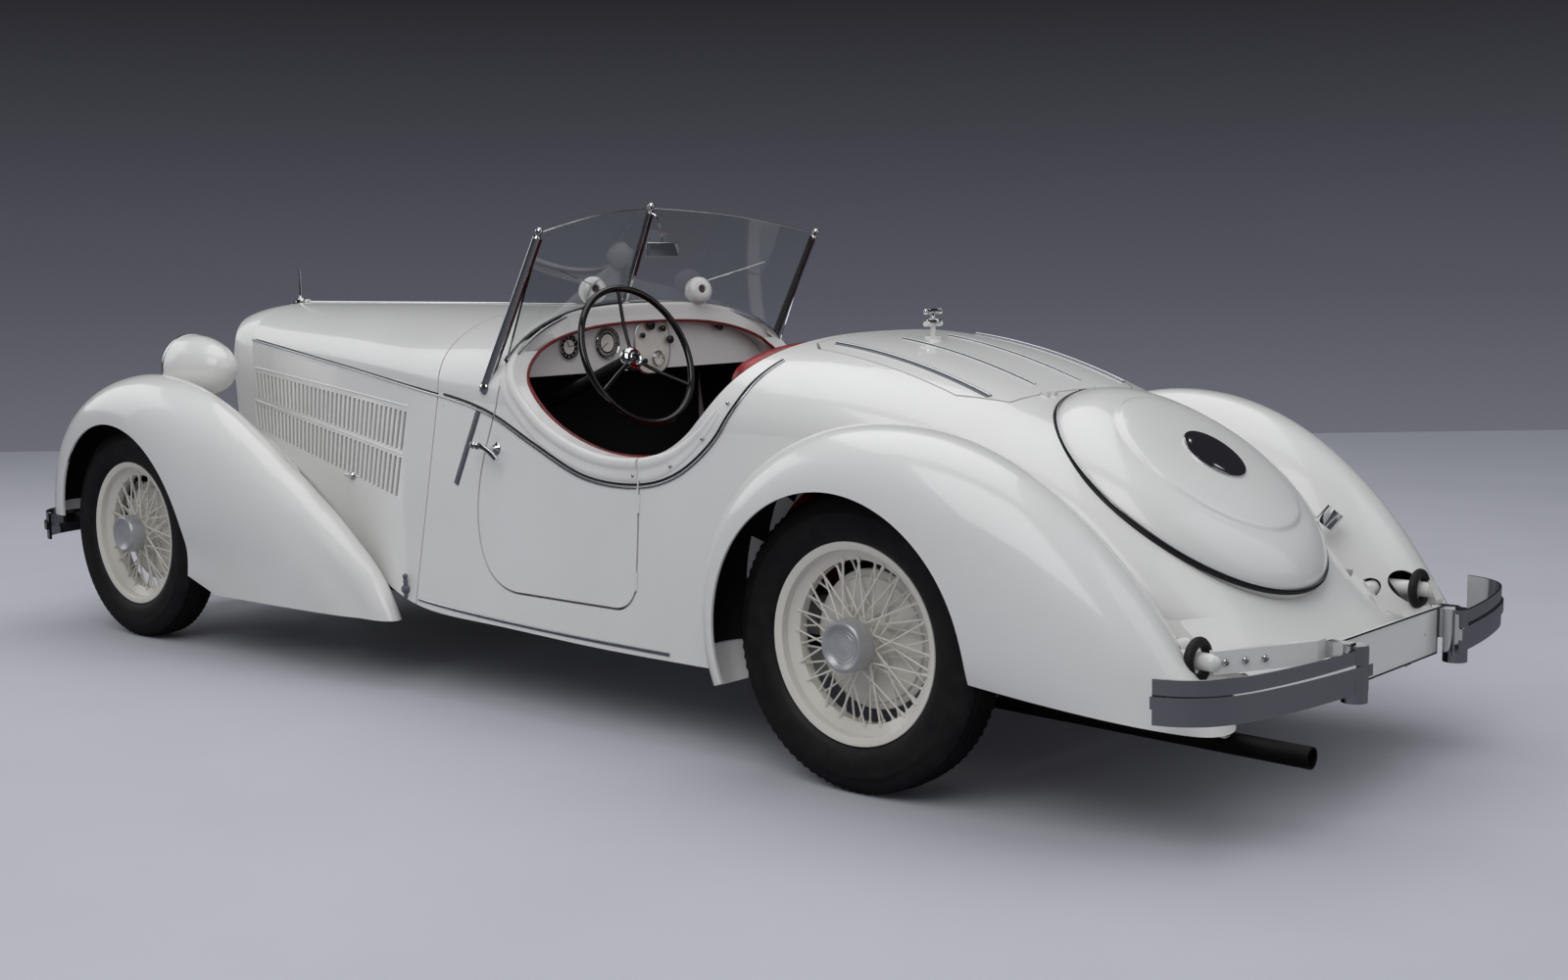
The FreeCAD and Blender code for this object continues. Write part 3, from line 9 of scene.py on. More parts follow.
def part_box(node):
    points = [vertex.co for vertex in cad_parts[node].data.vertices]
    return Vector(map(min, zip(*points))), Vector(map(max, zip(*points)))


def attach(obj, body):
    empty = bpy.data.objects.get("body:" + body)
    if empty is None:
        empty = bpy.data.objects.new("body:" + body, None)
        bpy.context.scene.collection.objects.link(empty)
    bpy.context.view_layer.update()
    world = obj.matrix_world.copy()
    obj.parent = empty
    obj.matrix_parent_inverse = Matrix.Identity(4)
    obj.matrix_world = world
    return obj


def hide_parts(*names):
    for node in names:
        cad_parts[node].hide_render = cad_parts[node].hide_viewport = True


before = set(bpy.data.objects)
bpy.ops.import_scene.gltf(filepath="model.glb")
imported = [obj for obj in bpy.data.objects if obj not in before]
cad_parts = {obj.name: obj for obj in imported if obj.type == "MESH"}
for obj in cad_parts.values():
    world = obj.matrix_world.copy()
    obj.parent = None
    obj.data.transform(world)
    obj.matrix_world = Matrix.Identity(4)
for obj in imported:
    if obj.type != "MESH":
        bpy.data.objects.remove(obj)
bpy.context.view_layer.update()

bl_info = {
    "name": "White Roadster",
    "version": (1, 0, 0),
    "blender": (4, 5, 0),
    "location": "View3D > Sidebar > Roadster",
    "description": "Dresses the CAD solids of an open two-seat roadster",
    "category": "Object",
}

SHARP_ANGLE = 42

# Places that the CAD part gives, in metres in its own frame
REAR_AXLE = -1.360
FRONT_AXLE = 1.740
AXLE_HEIGHT = 0.350
WHEEL_Y = 0.670
WHEELS = {
    "front_left": (FRONT_AXLE, 1, "wheel_fl"),
    "front_right": (FRONT_AXLE, -1, "wheel_fr"),
    "rear_left": (REAR_AXLE, 1, "wheel_rl"),
    "rear_right": (REAR_AXLE, -1, "wheel_rr"),
}
SIDES = ((1, "left"), (-1, "right"))
AHEAD, BACK = Vector((1, 0, 0)), Vector((-1, 0, 0))
LEFT, RIGHT = Vector((0, 1, 0)), Vector((0, -1, 0))
UP, DOWN = Vector((0, 0, 1)), Vector((0, 0, -1))


# Mesh making: every shape is a pair of vertices and faces
def joined(shapes):
    verts, faces = [], []
    for shape_verts, shape_faces in shapes:
        start = len(verts)
        verts += shape_verts
        faces += [tuple(start + index for index in face) for face in shape_faces]
    return verts, faces


def mirrored(shape):
    verts, faces = shape
    return [Vector((v[0], -v[1], v[2])) for v in verts], [tuple(reversed(face)) for face in faces]


def moved(shape, matrix):
    verts, faces = shape
    return [matrix @ Vector(v) for v in verts], faces


def both_sides(*shapes):
    """Shapes of the left side with their mirror images."""
    return joined(list(shapes) + [mirrored(shape) for shape in shapes])


def standing(centre, axis):
    """Matrix that stands +Z along an axis at a place."""
    turn = Vector(axis).to_track_quat("Z", "Y").to_matrix().to_4x4()
    return Matrix.Translation(Vector(centre)) @ turn


def turned(profile, steps=48, closed=False):
    """Turn (radius, height) points about +Z. A radius of 0 closes to one pole."""
    verts, faces, rings = [], [], []
    for radius, height in profile:
        if radius == 0:
            rings.append([len(verts)] * steps)
            verts.append(Vector((0, 0, height)))
            continue
        rings.append(list(range(len(verts), len(verts) + steps)))
        for step in range(steps):
            angle = 2 * math.pi * step / steps
            verts.append(Vector((radius * math.cos(angle), radius * math.sin(angle), height)))
    pairs = list(zip(rings, rings[1:]))
    if closed:
        pairs.append((rings[-1], rings[0]))
    for low, high in pairs:
        for step in range(steps):
            after = (step + 1) % steps
            face = [low[step], low[after], high[after], high[step]]
            kept = list(dict.fromkeys(face))
            if len(kept) > 2:
                faces.append(tuple(kept))
    return verts, faces


def lathed(profile, centre, axis, steps=48, closed=False):
    """Turn a profile about an axis through a place."""
    return moved(turned(profile, steps, closed), standing(centre, axis))


def run_frames(points, ups, closed):
    """Sideways and upward directions at each point of a run."""
    count = len(points)
    frames = []
    up = None
    for index, point in enumerate(points):
        before = points[index - 1] if index or closed else point
        after = points[(index + 1) % count] if index + 1 < count or closed else point
        along = (after - before).normalized()
        if ups is not None:
            up = ups[index]
        elif up is None:
            up = UP if abs(along.z) < 0.9 else LEFT
        side = along.cross(up).normalized()
        up = side.cross(along).normalized()
        frames.append((side, up))
    return frames


def swept(points, section, ups=None, closed=False):
    """Carry a closed section of (side, up) offsets along a run of points."""
    points = [Vector(point) for point in points]
    verts, faces = [], []
    size = len(section)
    for point, (side, up) in zip(points, run_frames(points, ups, closed)):
        verts += [point + side * across + up * rise for across, rise in section]
    last = len(points) if closed else len(points) - 1
    for ring in range(last):
        base = ring * size
        ahead = ((ring + 1) % len(points)) * size
        for index in range(size):
            after = (index + 1) % size
            faces.append((base + index, base + after, ahead + after, ahead + index))
    if not closed:
        faces.append(tuple(reversed(range(size))))
        faces.append(tuple(range(last * size, last * size + size)))
    return verts, faces


def round_section(radius, sides=10):
    turns = [2 * math.pi * step / sides for step in range(sides)]
    return [(radius * math.cos(turn), radius * math.sin(turn)) for turn in turns]


def bead_section(width, rise, sides=6, sunk=0.002):
    """Low half-round section that is sunk a little into what it lies on."""
    arch = []
    for step in range(sides + 1):
        turn = math.pi * step / sides
        arch.append((width / 2 * math.cos(turn), rise * math.sin(turn)))
    return [(width / 2, -sunk)] + arch + [(-width / 2, -sunk)]


def rod(start, end, radius, sides=12):
    return swept([start, end], round_section(radius, sides))


def smooth_run(points, steps):
    """Points on a smooth curve through the given ones."""
    points = [Vector(point) for point in points]
    run = []
    for index in range(len(points) - 1):
        p0 = points[max(index - 1, 0)]
        p1, p2 = points[index], points[index + 1]
        p3 = points[min(index + 2, len(points) - 1)]
        for step in range(steps):
            t = step / steps
            run.append(0.5 * (2 * p1 + (p2 - p0) * t + (2 * p0 - 5 * p1 + 4 * p2 - p3) * t * t
                              + (3 * p1 - p0 - 3 * p2 + p3) * t * t * t))
    run.append(points[-1])
    return run


def rounded_block(low, high, radius, steps=4):
    """Block whose edges are all rounded."""
    low, high = Vector(low), Vector(high)
    centre = (low + high) / 2
    core = (high - low) / 2 - Vector((radius, radius, radius))
    profile = [(radius * math.cos(angle), radius * math.sin(angle))
               for angle in (math.pi * (step / (2 * steps) - 0.5) for step in range(2 * steps + 1))]
    ball = turned([(0, profile[0][1])] + profile[1:-1] + [(0, profile[-1][1])], 8 * steps)
    grown = []
    for v in ball[0]:
        signs = [1 if value > 1e-6 else -1 if value < -1e-6 else 0 for value in v]
        grown.append(centre + v + Vector([reach * sign for reach, sign in zip(core, signs)]))
    return grown, ball[1]


def shape_of(mesh):
    """The places and faces of a mesh."""
    return [v.co.copy() for v in mesh.vertices], [tuple(p.vertices) for p in mesh.polygons]


def shape_taken(mesh):
    """The places and faces of an edit mesh, which is freed."""
    mesh.verts.index_update()
    shape = [v.co.copy() for v in mesh.verts], [tuple(v.index for v in face.verts) for face in mesh.faces]
    mesh.free()
    return shape


def piece(name, shape, key, body, replaced=(), flat=False):
    """Make one finished object from a shape, a finish and the body that it rides on."""
    verts, faces = shape
    mesh = bpy.data.meshes.new(name)
    mesh.from_pydata([tuple(v) for v in verts], [], faces)
    mesh.validate()
    outward = bmesh.new()
    outward.from_mesh(mesh)
    bmesh.ops.recalc_face_normals(outward, faces=outward.faces[:])
    outward.to_mesh(mesh)
    outward.free()
    mesh.materials.append(finish_of(key))
    mesh.shade_flat() if flat else mesh.shade_smooth()
    mesh.set_sharp_from_angle(angle=math.radians(SHARP_ANGLE))
    thing = bpy.data.objects.new(name, mesh)
    bpy.context.scene.collection.objects.link(thing)
    place(thing, body, replaced)
    return thing


def place(thing, body, replaced=()):
    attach(thing, body)
    if replaced:
        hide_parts(*replaced)


def skin_of(*nodes):
    """Search tree over the surfaces of some CAD nodes."""
    verts, faces = [], []
    for node in nodes:
        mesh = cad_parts[node].data
        start = len(verts)
        verts += [v.co.copy() for v in mesh.vertices]
        faces += [tuple(start + index for index in polygon.vertices) for polygon in mesh.polygons]
    return BVHTree.FromPolygons(verts, faces)


def hit(tree, start, towards):
    place_hit, normal, _, _ = tree.ray_cast(Vector(start), Vector(towards))
    if place_hit is None:
        raise RuntimeError("nothing of the CAD part lies in that direction from %s" % (start,))
    if normal.dot(Vector(towards)) > 0:
        normal = -normal
    return place_hit, normal


# Finishes
def linear(hex_colour):
    """sRGB hex to the linear colour that a shader reads."""
    value = hex_colour.lstrip("#")
    channels = [int(value[start:start + 2], 16) / 255 for start in (0, 2, 4)]
    return tuple(c / 12.92 if c <= 0.04045 else ((c + 0.055) / 1.055) ** 2.4 for c in channels) + (1.0,)


def feed(tree, node, inputs):
    """Give a node its input values and its links."""
    for socket, value in inputs.items():
        if isinstance(value, bpy.types.NodeSocket):
            tree.links.new(value, node.inputs[socket])
        else:
            node.inputs[socket].default_value = value


def add_node(tree, kind, inputs=None, **settings):
    """Add a node with its settings, its input values and its links."""
    node = tree.nodes.new(kind)
    for name, value in settings.items():
        setattr(node, name, value)
    feed(tree, node, inputs or {})
    return node


def new_finish(name):
    """Empty material with its tree, its Principled shader and its object coordinates."""
    finish = bpy.data.materials.new(name)
    finish.use_nodes = True
    tree = finish.node_tree
    shader = tree.nodes["Principled BSDF"]
    where = add_node(tree, "ShaderNodeTexCoord").outputs["Object"]
    return finish, tree, shader, where


def shades(tree, factor, stops):
    """Colour ramp from hex stops."""
    ramp = add_node(tree, "ShaderNodeValToRGB", {"Fac": factor})
    ramp.color_ramp.elements[0].position = stops[0][0]
    ramp.color_ramp.elements[0].color = linear(stops[0][1])
    ramp.color_ramp.elements[1].position = stops[-1][0]
    ramp.color_ramp.elements[1].color = linear(stops[-1][1])
    for position, colour in stops[1:-1]:
        ramp.color_ramp.elements.new(position).color = linear(colour)
    return ramp.outputs["Color"]


def enamel(name, tone, shade, gloss):
    """Stoved enamel, sprayed and polished: a clear even gloss over a colour with faint drift."""
    finish, tree, shader, where = new_finish(name)
    drift = add_node(tree, "ShaderNodeTexNoise", {"Vector": where, "Scale": 2.5, "Detail": 3.0})
    colour = shades(tree, drift.outputs["Fac"], [(0.3, shade), (0.7, tone)])
    # Orange peel of about 3 mm, drawn as coarse as it needs to show in a highlight
    peel = add_node(tree, "ShaderNodeTexNoise", {"Vector": where, "Scale": 330.0, "Detail": 2.0})
    bump = add_node(tree, "ShaderNodeBump",
                    {"Height": peel.outputs["Fac"], "Strength": 0.03, "Distance": 0.0004})
    feed(tree, shader, {
        "Base Color": colour,
        "Normal": bump.outputs["Normal"],
        "Roughness": gloss,
        "IOR": 1.5,
        "Coat Weight": 0.6,
        "Coat Roughness": 0.04,
    })
    return finish


def plated(name, tone, rough, grain):
    """Polished plate: mirror bright, with the faint cloudiness that buffing leaves."""
    finish, tree, shader, where = new_finish(name)
    haze = add_node(tree, "ShaderNodeTexNoise", {"Vector": where, "Scale": grain, "Detail": 4.0})
    spread = add_node(tree, "ShaderNodeMapRange",
                      {"Value": haze.outputs["Fac"], "To Min": rough * 0.6, "To Max": rough * 1.6})
    feed(tree, shader, {
        "Roughness": spread.outputs["Result"],
        "Base Color": linear(tone),
        "Metallic": 1.0,
    })
    return finish


def rubber(name, tone, dust, scale):
    """Vulcanised rubber: matt black, greyed by road dust."""
    finish, tree, shader, where = new_finish(name)
    dirt = add_node(tree, "ShaderNodeTexNoise", {"Vector": where, "Scale": scale, "Detail": 6.0})
    skin = add_node(tree, "ShaderNodeTexNoise", {"Vector": where, "Scale": 900.0, "Detail": 2.0})
    bump = add_node(tree, "ShaderNodeBump",
                    {"Height": skin.outputs["Fac"], "Strength": 0.25, "Distance": 0.0003})
    feed(tree, shader, {
        "Base Color": shades(tree, dirt.outputs["Fac"], [(0.4, tone), (0.75, dust)]),
        "Normal": bump.outputs["Normal"],
        "Roughness": 0.62,
    })
    return finish


def hide(name, tone, shade):
    """Pigmented cowhide: fine pebbled grain about 2 mm across under a soft gloss."""
    finish, tree, shader, where = new_finish(name)
    wear = add_node(tree, "ShaderNodeTexNoise", {"Vector": where, "Scale": 9.0, "Detail": 5.0})
    grain = add_node(tree, "ShaderNodeTexVoronoi", {"Vector": where, "Scale": 480.0},
                     feature="DISTANCE_TO_EDGE")
    creases = add_node(tree, "ShaderNodeTexNoise", {"Vector": where, "Scale": 30.0, "Detail": 4.0})
    height = add_node(tree, "ShaderNodeMath", {0: grain.outputs["Distance"], 1: creases.outputs["Fac"]},
                      operation="ADD")
    bump = add_node(tree, "ShaderNodeBump", {"Height": height.outputs["Value"], "Strength": 0.3,
                                             "Distance": 0.0006})
    feed(tree, shader, {
        "Base Color": shades(tree, wear.outputs["Fac"], [(0.35, shade), (0.65, tone)]),
        "Normal": bump.outputs["Normal"],
        "Roughness": 0.36,
        "Coat Weight": 0.25,
        "Coat Roughness": 0.25,
    })
    return finish


def coated_cloth(name, tone, shade):
    """Rubber-coated cloth drawn over padding: soft gloss with a fine, slightly uneven grain."""
    finish, tree, shader, where = new_finish(name)
    drift = add_node(tree, "ShaderNodeTexNoise", {"Vector": where, "Scale": 7.0, "Detail": 4.0})
    # Threads 0.5 mm apart are too fine to show, so the grain is drawn at about 2 mm
    weave = add_node(tree, "ShaderNodeTexNoise", {"Vector": where, "Scale": 480.0, "Detail": 2.0})
    puckers = add_node(tree, "ShaderNodeTexNoise", {"Vector": where, "Scale": 28.0, "Detail": 2.0})
    height = add_node(tree, "ShaderNodeMath", {0: weave.outputs["Fac"], 1: puckers.outputs["Fac"]},
                      operation="ADD")
    bump = add_node(tree, "ShaderNodeBump", {"Height": height.outputs["Value"], "Strength": 0.12,
                                             "Distance": 0.0012})
    feed(tree, shader, {
        "Base Color": shades(tree, drift.outputs["Fac"], [(0.3, shade), (0.7, tone)]),
        "Normal": bump.outputs["Normal"],
        "Roughness": 0.42,
        "Coat Weight": 0.2,
        "Coat Roughness": 0.3,
    })
    return finish


def woven_pile(name, tone, shade):
    """Cut-pile carpet: short tufts about 3 mm apart that swallow the light."""
    finish, tree, shader, where = new_finish(name)
    tufts = add_node(tree, "ShaderNodeTexVoronoi", {"Vector": where, "Scale": 330.0})
    bump = add_node(tree, "ShaderNodeBump", {"Height": tufts.outputs["Distance"], "Strength": 0.6,
                                             "Distance": 0.001})
    feed(tree, shader, {
        "Base Color": shades(tree, tufts.outputs["Distance"], [(0.1, tone), (0.8, shade)]),
        "Normal": bump.outputs["Normal"],
        "Roughness": 0.95,
        "Sheen Weight": 0.15,
    })
    return finish


def clear_glass(name, tint):
    """Plate glass: clear, with a faint tint and a clean polish."""
    finish, tree, shader, where = new_finish(name)
    smear = add_node(tree, "ShaderNodeTexNoise", {"Vector": where, "Scale": 6.0, "Detail": 4.0})
    spread = add_node(tree, "ShaderNodeMapRange",
                      {"Value": smear.outputs["Fac"], "To Min": 0.0, "To Max": 0.04})
    feed(tree, shader, {
        "Roughness": spread.outputs["Result"],
        "Base Color": linear(tint),
        "Transmission Weight": 1.0,
        "IOR": 1.45,
    })
    return finish


def cast_metal(name, tone, shade, rough, metallic):
    """Sand-cast or forged metal: a fine gritty skin with uneven tone."""
    finish, tree, shader, where = new_finish(name)
    tone_noise = add_node(tree, "ShaderNodeTexNoise", {"Vector": where, "Scale": 14.0, "Detail": 6.0})
    grit = add_node(tree, "ShaderNodeTexNoise", {"Vector": where, "Scale": 600.0, "Detail": 2.0})
    bump = add_node(tree, "ShaderNodeBump",
                    {"Height": grit.outputs["Fac"], "Strength": 0.3, "Distance": 0.0005})
    feed(tree, shader, {
        "Base Color": shades(tree, tone_noise.outputs["Fac"], [(0.35, shade), (0.7, tone)]),
        "Normal": bump.outputs["Normal"],
        "Roughness": rough,
        "Metallic": metallic,
    })
    return finish


def moulded(name, tone, shade, rough):
    """Compression-moulded plastic: smooth and glossy, with slight flow marks."""
    finish, tree, shader, where = new_finish(name)
    flow = add_node(tree, "ShaderNodeTexNoise",
                    {"Vector": where, "Scale": 25.0, "Detail": 3.0, "Distortion": 1.5})
    feed(tree, shader, {
        "Base Color": shades(tree, flow.outputs["Fac"], [(0.3, shade), (0.7, tone)]),
        "Roughness": rough,
        "IOR": 1.54,
        "Coat Weight": 0.3,
    })
    return finish


FINISHES = {}


def finish_of(key):
    """The material of one finish, made at its first use."""
    colours = bpy.context.scene.roadster_colours
    makers = {
        "body": lambda: enamel("stoved enamel, body white", colours.body, colours.body_shade, 0.30),
        "wheel": lambda: enamel("stoved enamel, wheel ivory", colours.wheel, colours.wheel_shade, 0.34),
        "chrome": lambda: plated("chromium plate on brass", "#D9DADC", 0.07, 40.0),
        "bright": lambda: plated("polished aluminium strip", "#C6C9CE", 0.20, 120.0),
        "cap": lambda: cast_metal("satin nickel, lacquered", "#C6C7C9", "#B2B3B6", 0.32, 0.45),
        "mirror": lambda: plated("silvered glass", "#E6E8EA", 0.02, 12.0),
        "tyre": lambda: rubber("vulcanised tyre rubber", "#0F0F10", "#1C1B1A", 26.0),
        "seal": lambda: rubber("extruded rubber seal", "#0B0B0C", "#141415", 60.0),
        "leather": lambda: hide("pigmented cowhide, red", colours.leather, "#6E0A10"),
        "piping": lambda: hide("leather piping, dark red", "#7A0D12", "#5A070C"),
        "hood_cloth": lambda: coated_cloth("coated cloth, white", "#E3E2DE", "#DAD8D3"),
        "hide_black": lambda: hide("pigmented cowhide, black", "#111112", "#0A0A0B"),
        "post_wood": lambda: moulded("lacquered strip, dark brown red", "#3A1210", "#240A09", 0.30),
        "arm_grey": lambda: enamel("air-dried enamel, slate grey", "#5C6068", "#54575F", 0.35),
        # Black sheets of painted shade, in the wheel arches and behind the bonnet louvres
        "undercoat": lambda: cast_metal("bitumen undercoat", "#0C0C0D", "#070708", 0.8, 0.0),
        "carpet": lambda: woven_pile("cut-pile wool carpet, black", "#101012", "#060607"),
        "glass": lambda: clear_glass("plate glass", "#F4F8F7"),
        "lens": lambda: clear_glass("pressed lens glass", "#FFFFFF"),
        "ruby": lambda: moulded("ruby lamp glass", "#8E0A0C", "#5E0506", 0.08),
        "bakelite": lambda: moulded("black phenolic resin", "#0C0C0D", "#060606", 0.16),
        "dial": lambda: moulded("enamelled dial face", "#E9E6DC", "#E1DDD2", 0.30),
        "black": lambda: cast_metal("stove-blacked frame steel", "#161617", "#0B0B0C", 0.45, 0.0),
        "cast": lambda: cast_metal("sand-cast aluminium", "#8C8D8F", "#6A6B6D", 0.5, 1.0),
        "pipe": lambda: cast_metal("heat-darkened steel pipe", "#1D1A18", "#0E0D0C", 0.55, 0.6),
        "plate": lambda: enamel("stamped plate enamel, white", "#E4E4E0", "#DCDCD8", 0.35),
    }
    if key not in FINISHES:
        FINISHES[key] = makers[key]()
    return FINISHES[key]


def set_finish(node, key):
    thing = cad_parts[node]
    thing.data.materials.clear()
    thing.data.materials.append(finish_of(key))


# Sizes and colours a user would change
class RoadsterColours(bpy.types.PropertyGroup):
    body: bpy.props.StringProperty(name="Body", description="Body enamel, sRGB hex", default="#E2E1DE")
    body_shade: bpy.props.StringProperty(name="Body drift", description="Slightly darker body enamel",
                                         default="#DDDCD8")
    wheel: bpy.props.StringProperty(name="Wheels", description="Wheel enamel, sRGB hex", default="#E0DDD3")
    wheel_shade: bpy.props.StringProperty(name="Wheel drift", description="Slightly darker wheel enamel",
                                          default="#D6D2C6")
    leather: bpy.props.StringProperty(name="Leather", description="Seat leather, sRGB hex", default="#A3121C")


class RoadsterWheels(bpy.types.PropertyGroup):
    spokes: bpy.props.IntProperty(name="Spokes in a row", description="Wire spokes in each of the three rows",
                                  default=20, min=8)
    spoke_radius: bpy.props.FloatProperty(
        name="Spoke radius", description="Half thickness of a wire spoke", default=0.0026, unit="LENGTH",
        precision=4)
    spoke_lean: bpy.props.FloatProperty(
        name="Spoke lean", description="Angle between a spoke's two ends about the axle",
        default=math.radians(38), subtype="ANGLE")
    tread_blocks: bpy.props.IntProperty(name="Tread blocks",
                                        description="Blocks round each shoulder of a tyre",
                                        default=90, min=20)


class RoadsterStage(bpy.types.PropertyGroup):
    floor_tone: bpy.props.StringProperty(name="Floor", description="Floor colour, sRGB hex",
                                         default="#BFBFC6")
    lens: bpy.props.FloatProperty(name="Lens", description="Focal length on a 36 mm sensor, in mm",
                                  default=44.489)


# Coachwork: finishes of the CAD panels
def paired(*names):
    return ["%s_%s" % (name, side) for name in names for _, side in SIDES]


class ROADSTER_OT_coachwork(bpy.types.Operator):
    """Give every CAD panel that stays its finish"""
    bl_idname = "roadster.coachwork"
    bl_label = "Coachwork finishes"

    def execute(self, context):
        finishes = {
            "body": paired("bumper_arm", "door", "bonnet_leaf", "bonnet_side", "front_fender", "rear_fender",
                           "door_coaming", "headlamp")
            + ["body_tub", "deck_lid", "spare_cover", "cockpit_coaming", "dash_panel",
               "radiator_shell"],
            "chrome": ["bonnet_hinge_rod", "windscreen_frame", "front_bumper", "rear_bumper",
                       "radiator_grille", "filler_cap"],
            "glass": paired("glass"),
            "black": paired("knuckle") + ["chassis_frame", "front_suspension", "rear_axle",
                                          "steering_column"],
            "cast": ["engine_block"],
            "pipe": ["exhaust_pipe"],
            "plate": ["number_plate"],
            "bakelite": ["steering_wheel"],
            "leather": ["seat_cushion", "seat_back"],
            "tyre": ["tyre_" + wheel for wheel in WHEELS],
            "wheel": ["wheel_" + wheel for wheel in WHEELS],
        }
        for key, nodes in finishes.items():
            for node in nodes:
                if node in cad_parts:
                    set_finish(node, key)
        return {"FINISHED"}


# Wheels
RIM_RADIUS = 0.236
SPOKE_ROWS = [
    # hub radius, hub height, rim height, lean sign: heights are from the wheel's middle, outwards
    (0.047, 0.036, 0.016, 1),
    (0.047, 0.022, 0.004, -1),
    (0.051, -0.010, -0.007, 1),
]


def wheel_matrix(wheel):
    x, side, _ = WHEELS[wheel]
    return standing((x, side * WHEEL_Y, AXLE_HEIGHT), (0, side, 0))


def rim_shape():
    lip = RIM_RADIUS
    return turned([
        (lip - 0.004, 0.046), (lip, 0.047), (lip + 0.0015, 0.050), (lip, 0.0525), (lip - 0.006, 0.0525),
        (lip - 0.018, 0.046), (lip - 0.019, 0.026), (lip - 0.030, 0.020), (lip - 0.045, 0.012),
        (lip - 0.045, -0.012), (lip - 0.030, -0.020), (lip - 0.019, -0.026), (lip - 0.018, -0.046),
        (lip - 0.006, -0.0525), (lip, -0.0525), (lip + 0.0015, -0.050), (lip, -0.047), (lip - 0.004, -0.046),
        (lip - 0.012, -0.045), (lip - 0.012, -0.026), (lip - 0.038, -0.014), (lip - 0.038, 0.014),
        (lip - 0.012, 0.026), (lip - 0.012, 0.045),
    ], 96, closed=True)


def hub_shape():
    return turned([
        (0, -0.070), (0.163, -0.070), (0.165, -0.068), (0.165, -0.031), (0.162, -0.029), (0.150, -0.028),
        (0.146, -0.022), (0.080, -0.020), (0.060, -0.016), (0.052, -0.008), (0.050, 0.0), (0.049, 0.020),
        (0.051, 0.030), (0.051, 0.040), (0.048, 0.043), (0, 0.043),
    ], 64)


def cap_shape():
    return turned([
        (0.051, 0.040), (0.060, 0.044), (0.062, 0.048), (0.062, 0.076), (0.0605, 0.086), (0.056, 0.0925),
        (0.053, 0.0935), (0.050, 0.0925), (0.044, 0.086), (0.040, 0.0835), (0.0385, 0.0845),
        (0.037, 0.0835), (0.030, 0.0815), (0.0285, 0.0825), (0.027, 0.0815), (0.018, 0.0815),
        (0.012, 0.0835), (0, 0.0845),
    ], 72)


def open_tree(name, inputs):
    """New geometry tree with its inputs, the last of them the finish, and one geometry output."""
    tree = bpy.data.node_groups.new(name, "GeometryNodeTree")
    tree.interface.new_socket(name="Geometry", in_out="OUTPUT", socket_type="NodeSocketGeometry")
    for socket, kind in inputs + (("Finish", "Material"),):
        tree.interface.new_socket(name=socket, in_out="INPUT", socket_type="NodeSocket" + kind)
    return tree, add_node(tree, "NodeGroupInput").outputs


def close_tree(tree, geometry, given):
    """Make the geometry real and smooth, give it its finish and send it out."""
    real = add_node(tree, "GeometryNodeRealizeInstances", {"Geometry": geometry})
    smooth = add_node(tree, "GeometryNodeSetShadeSmooth", {"Geometry": real.outputs["Geometry"]})
    painted = add_node(tree, "GeometryNodeSetMaterial",
                       {"Geometry": smooth.outputs["Geometry"], "Material": given["Finish"]})
    add_node(tree, "NodeGroupOutput", {"Geometry": painted.outputs["Geometry"]})
    return tree


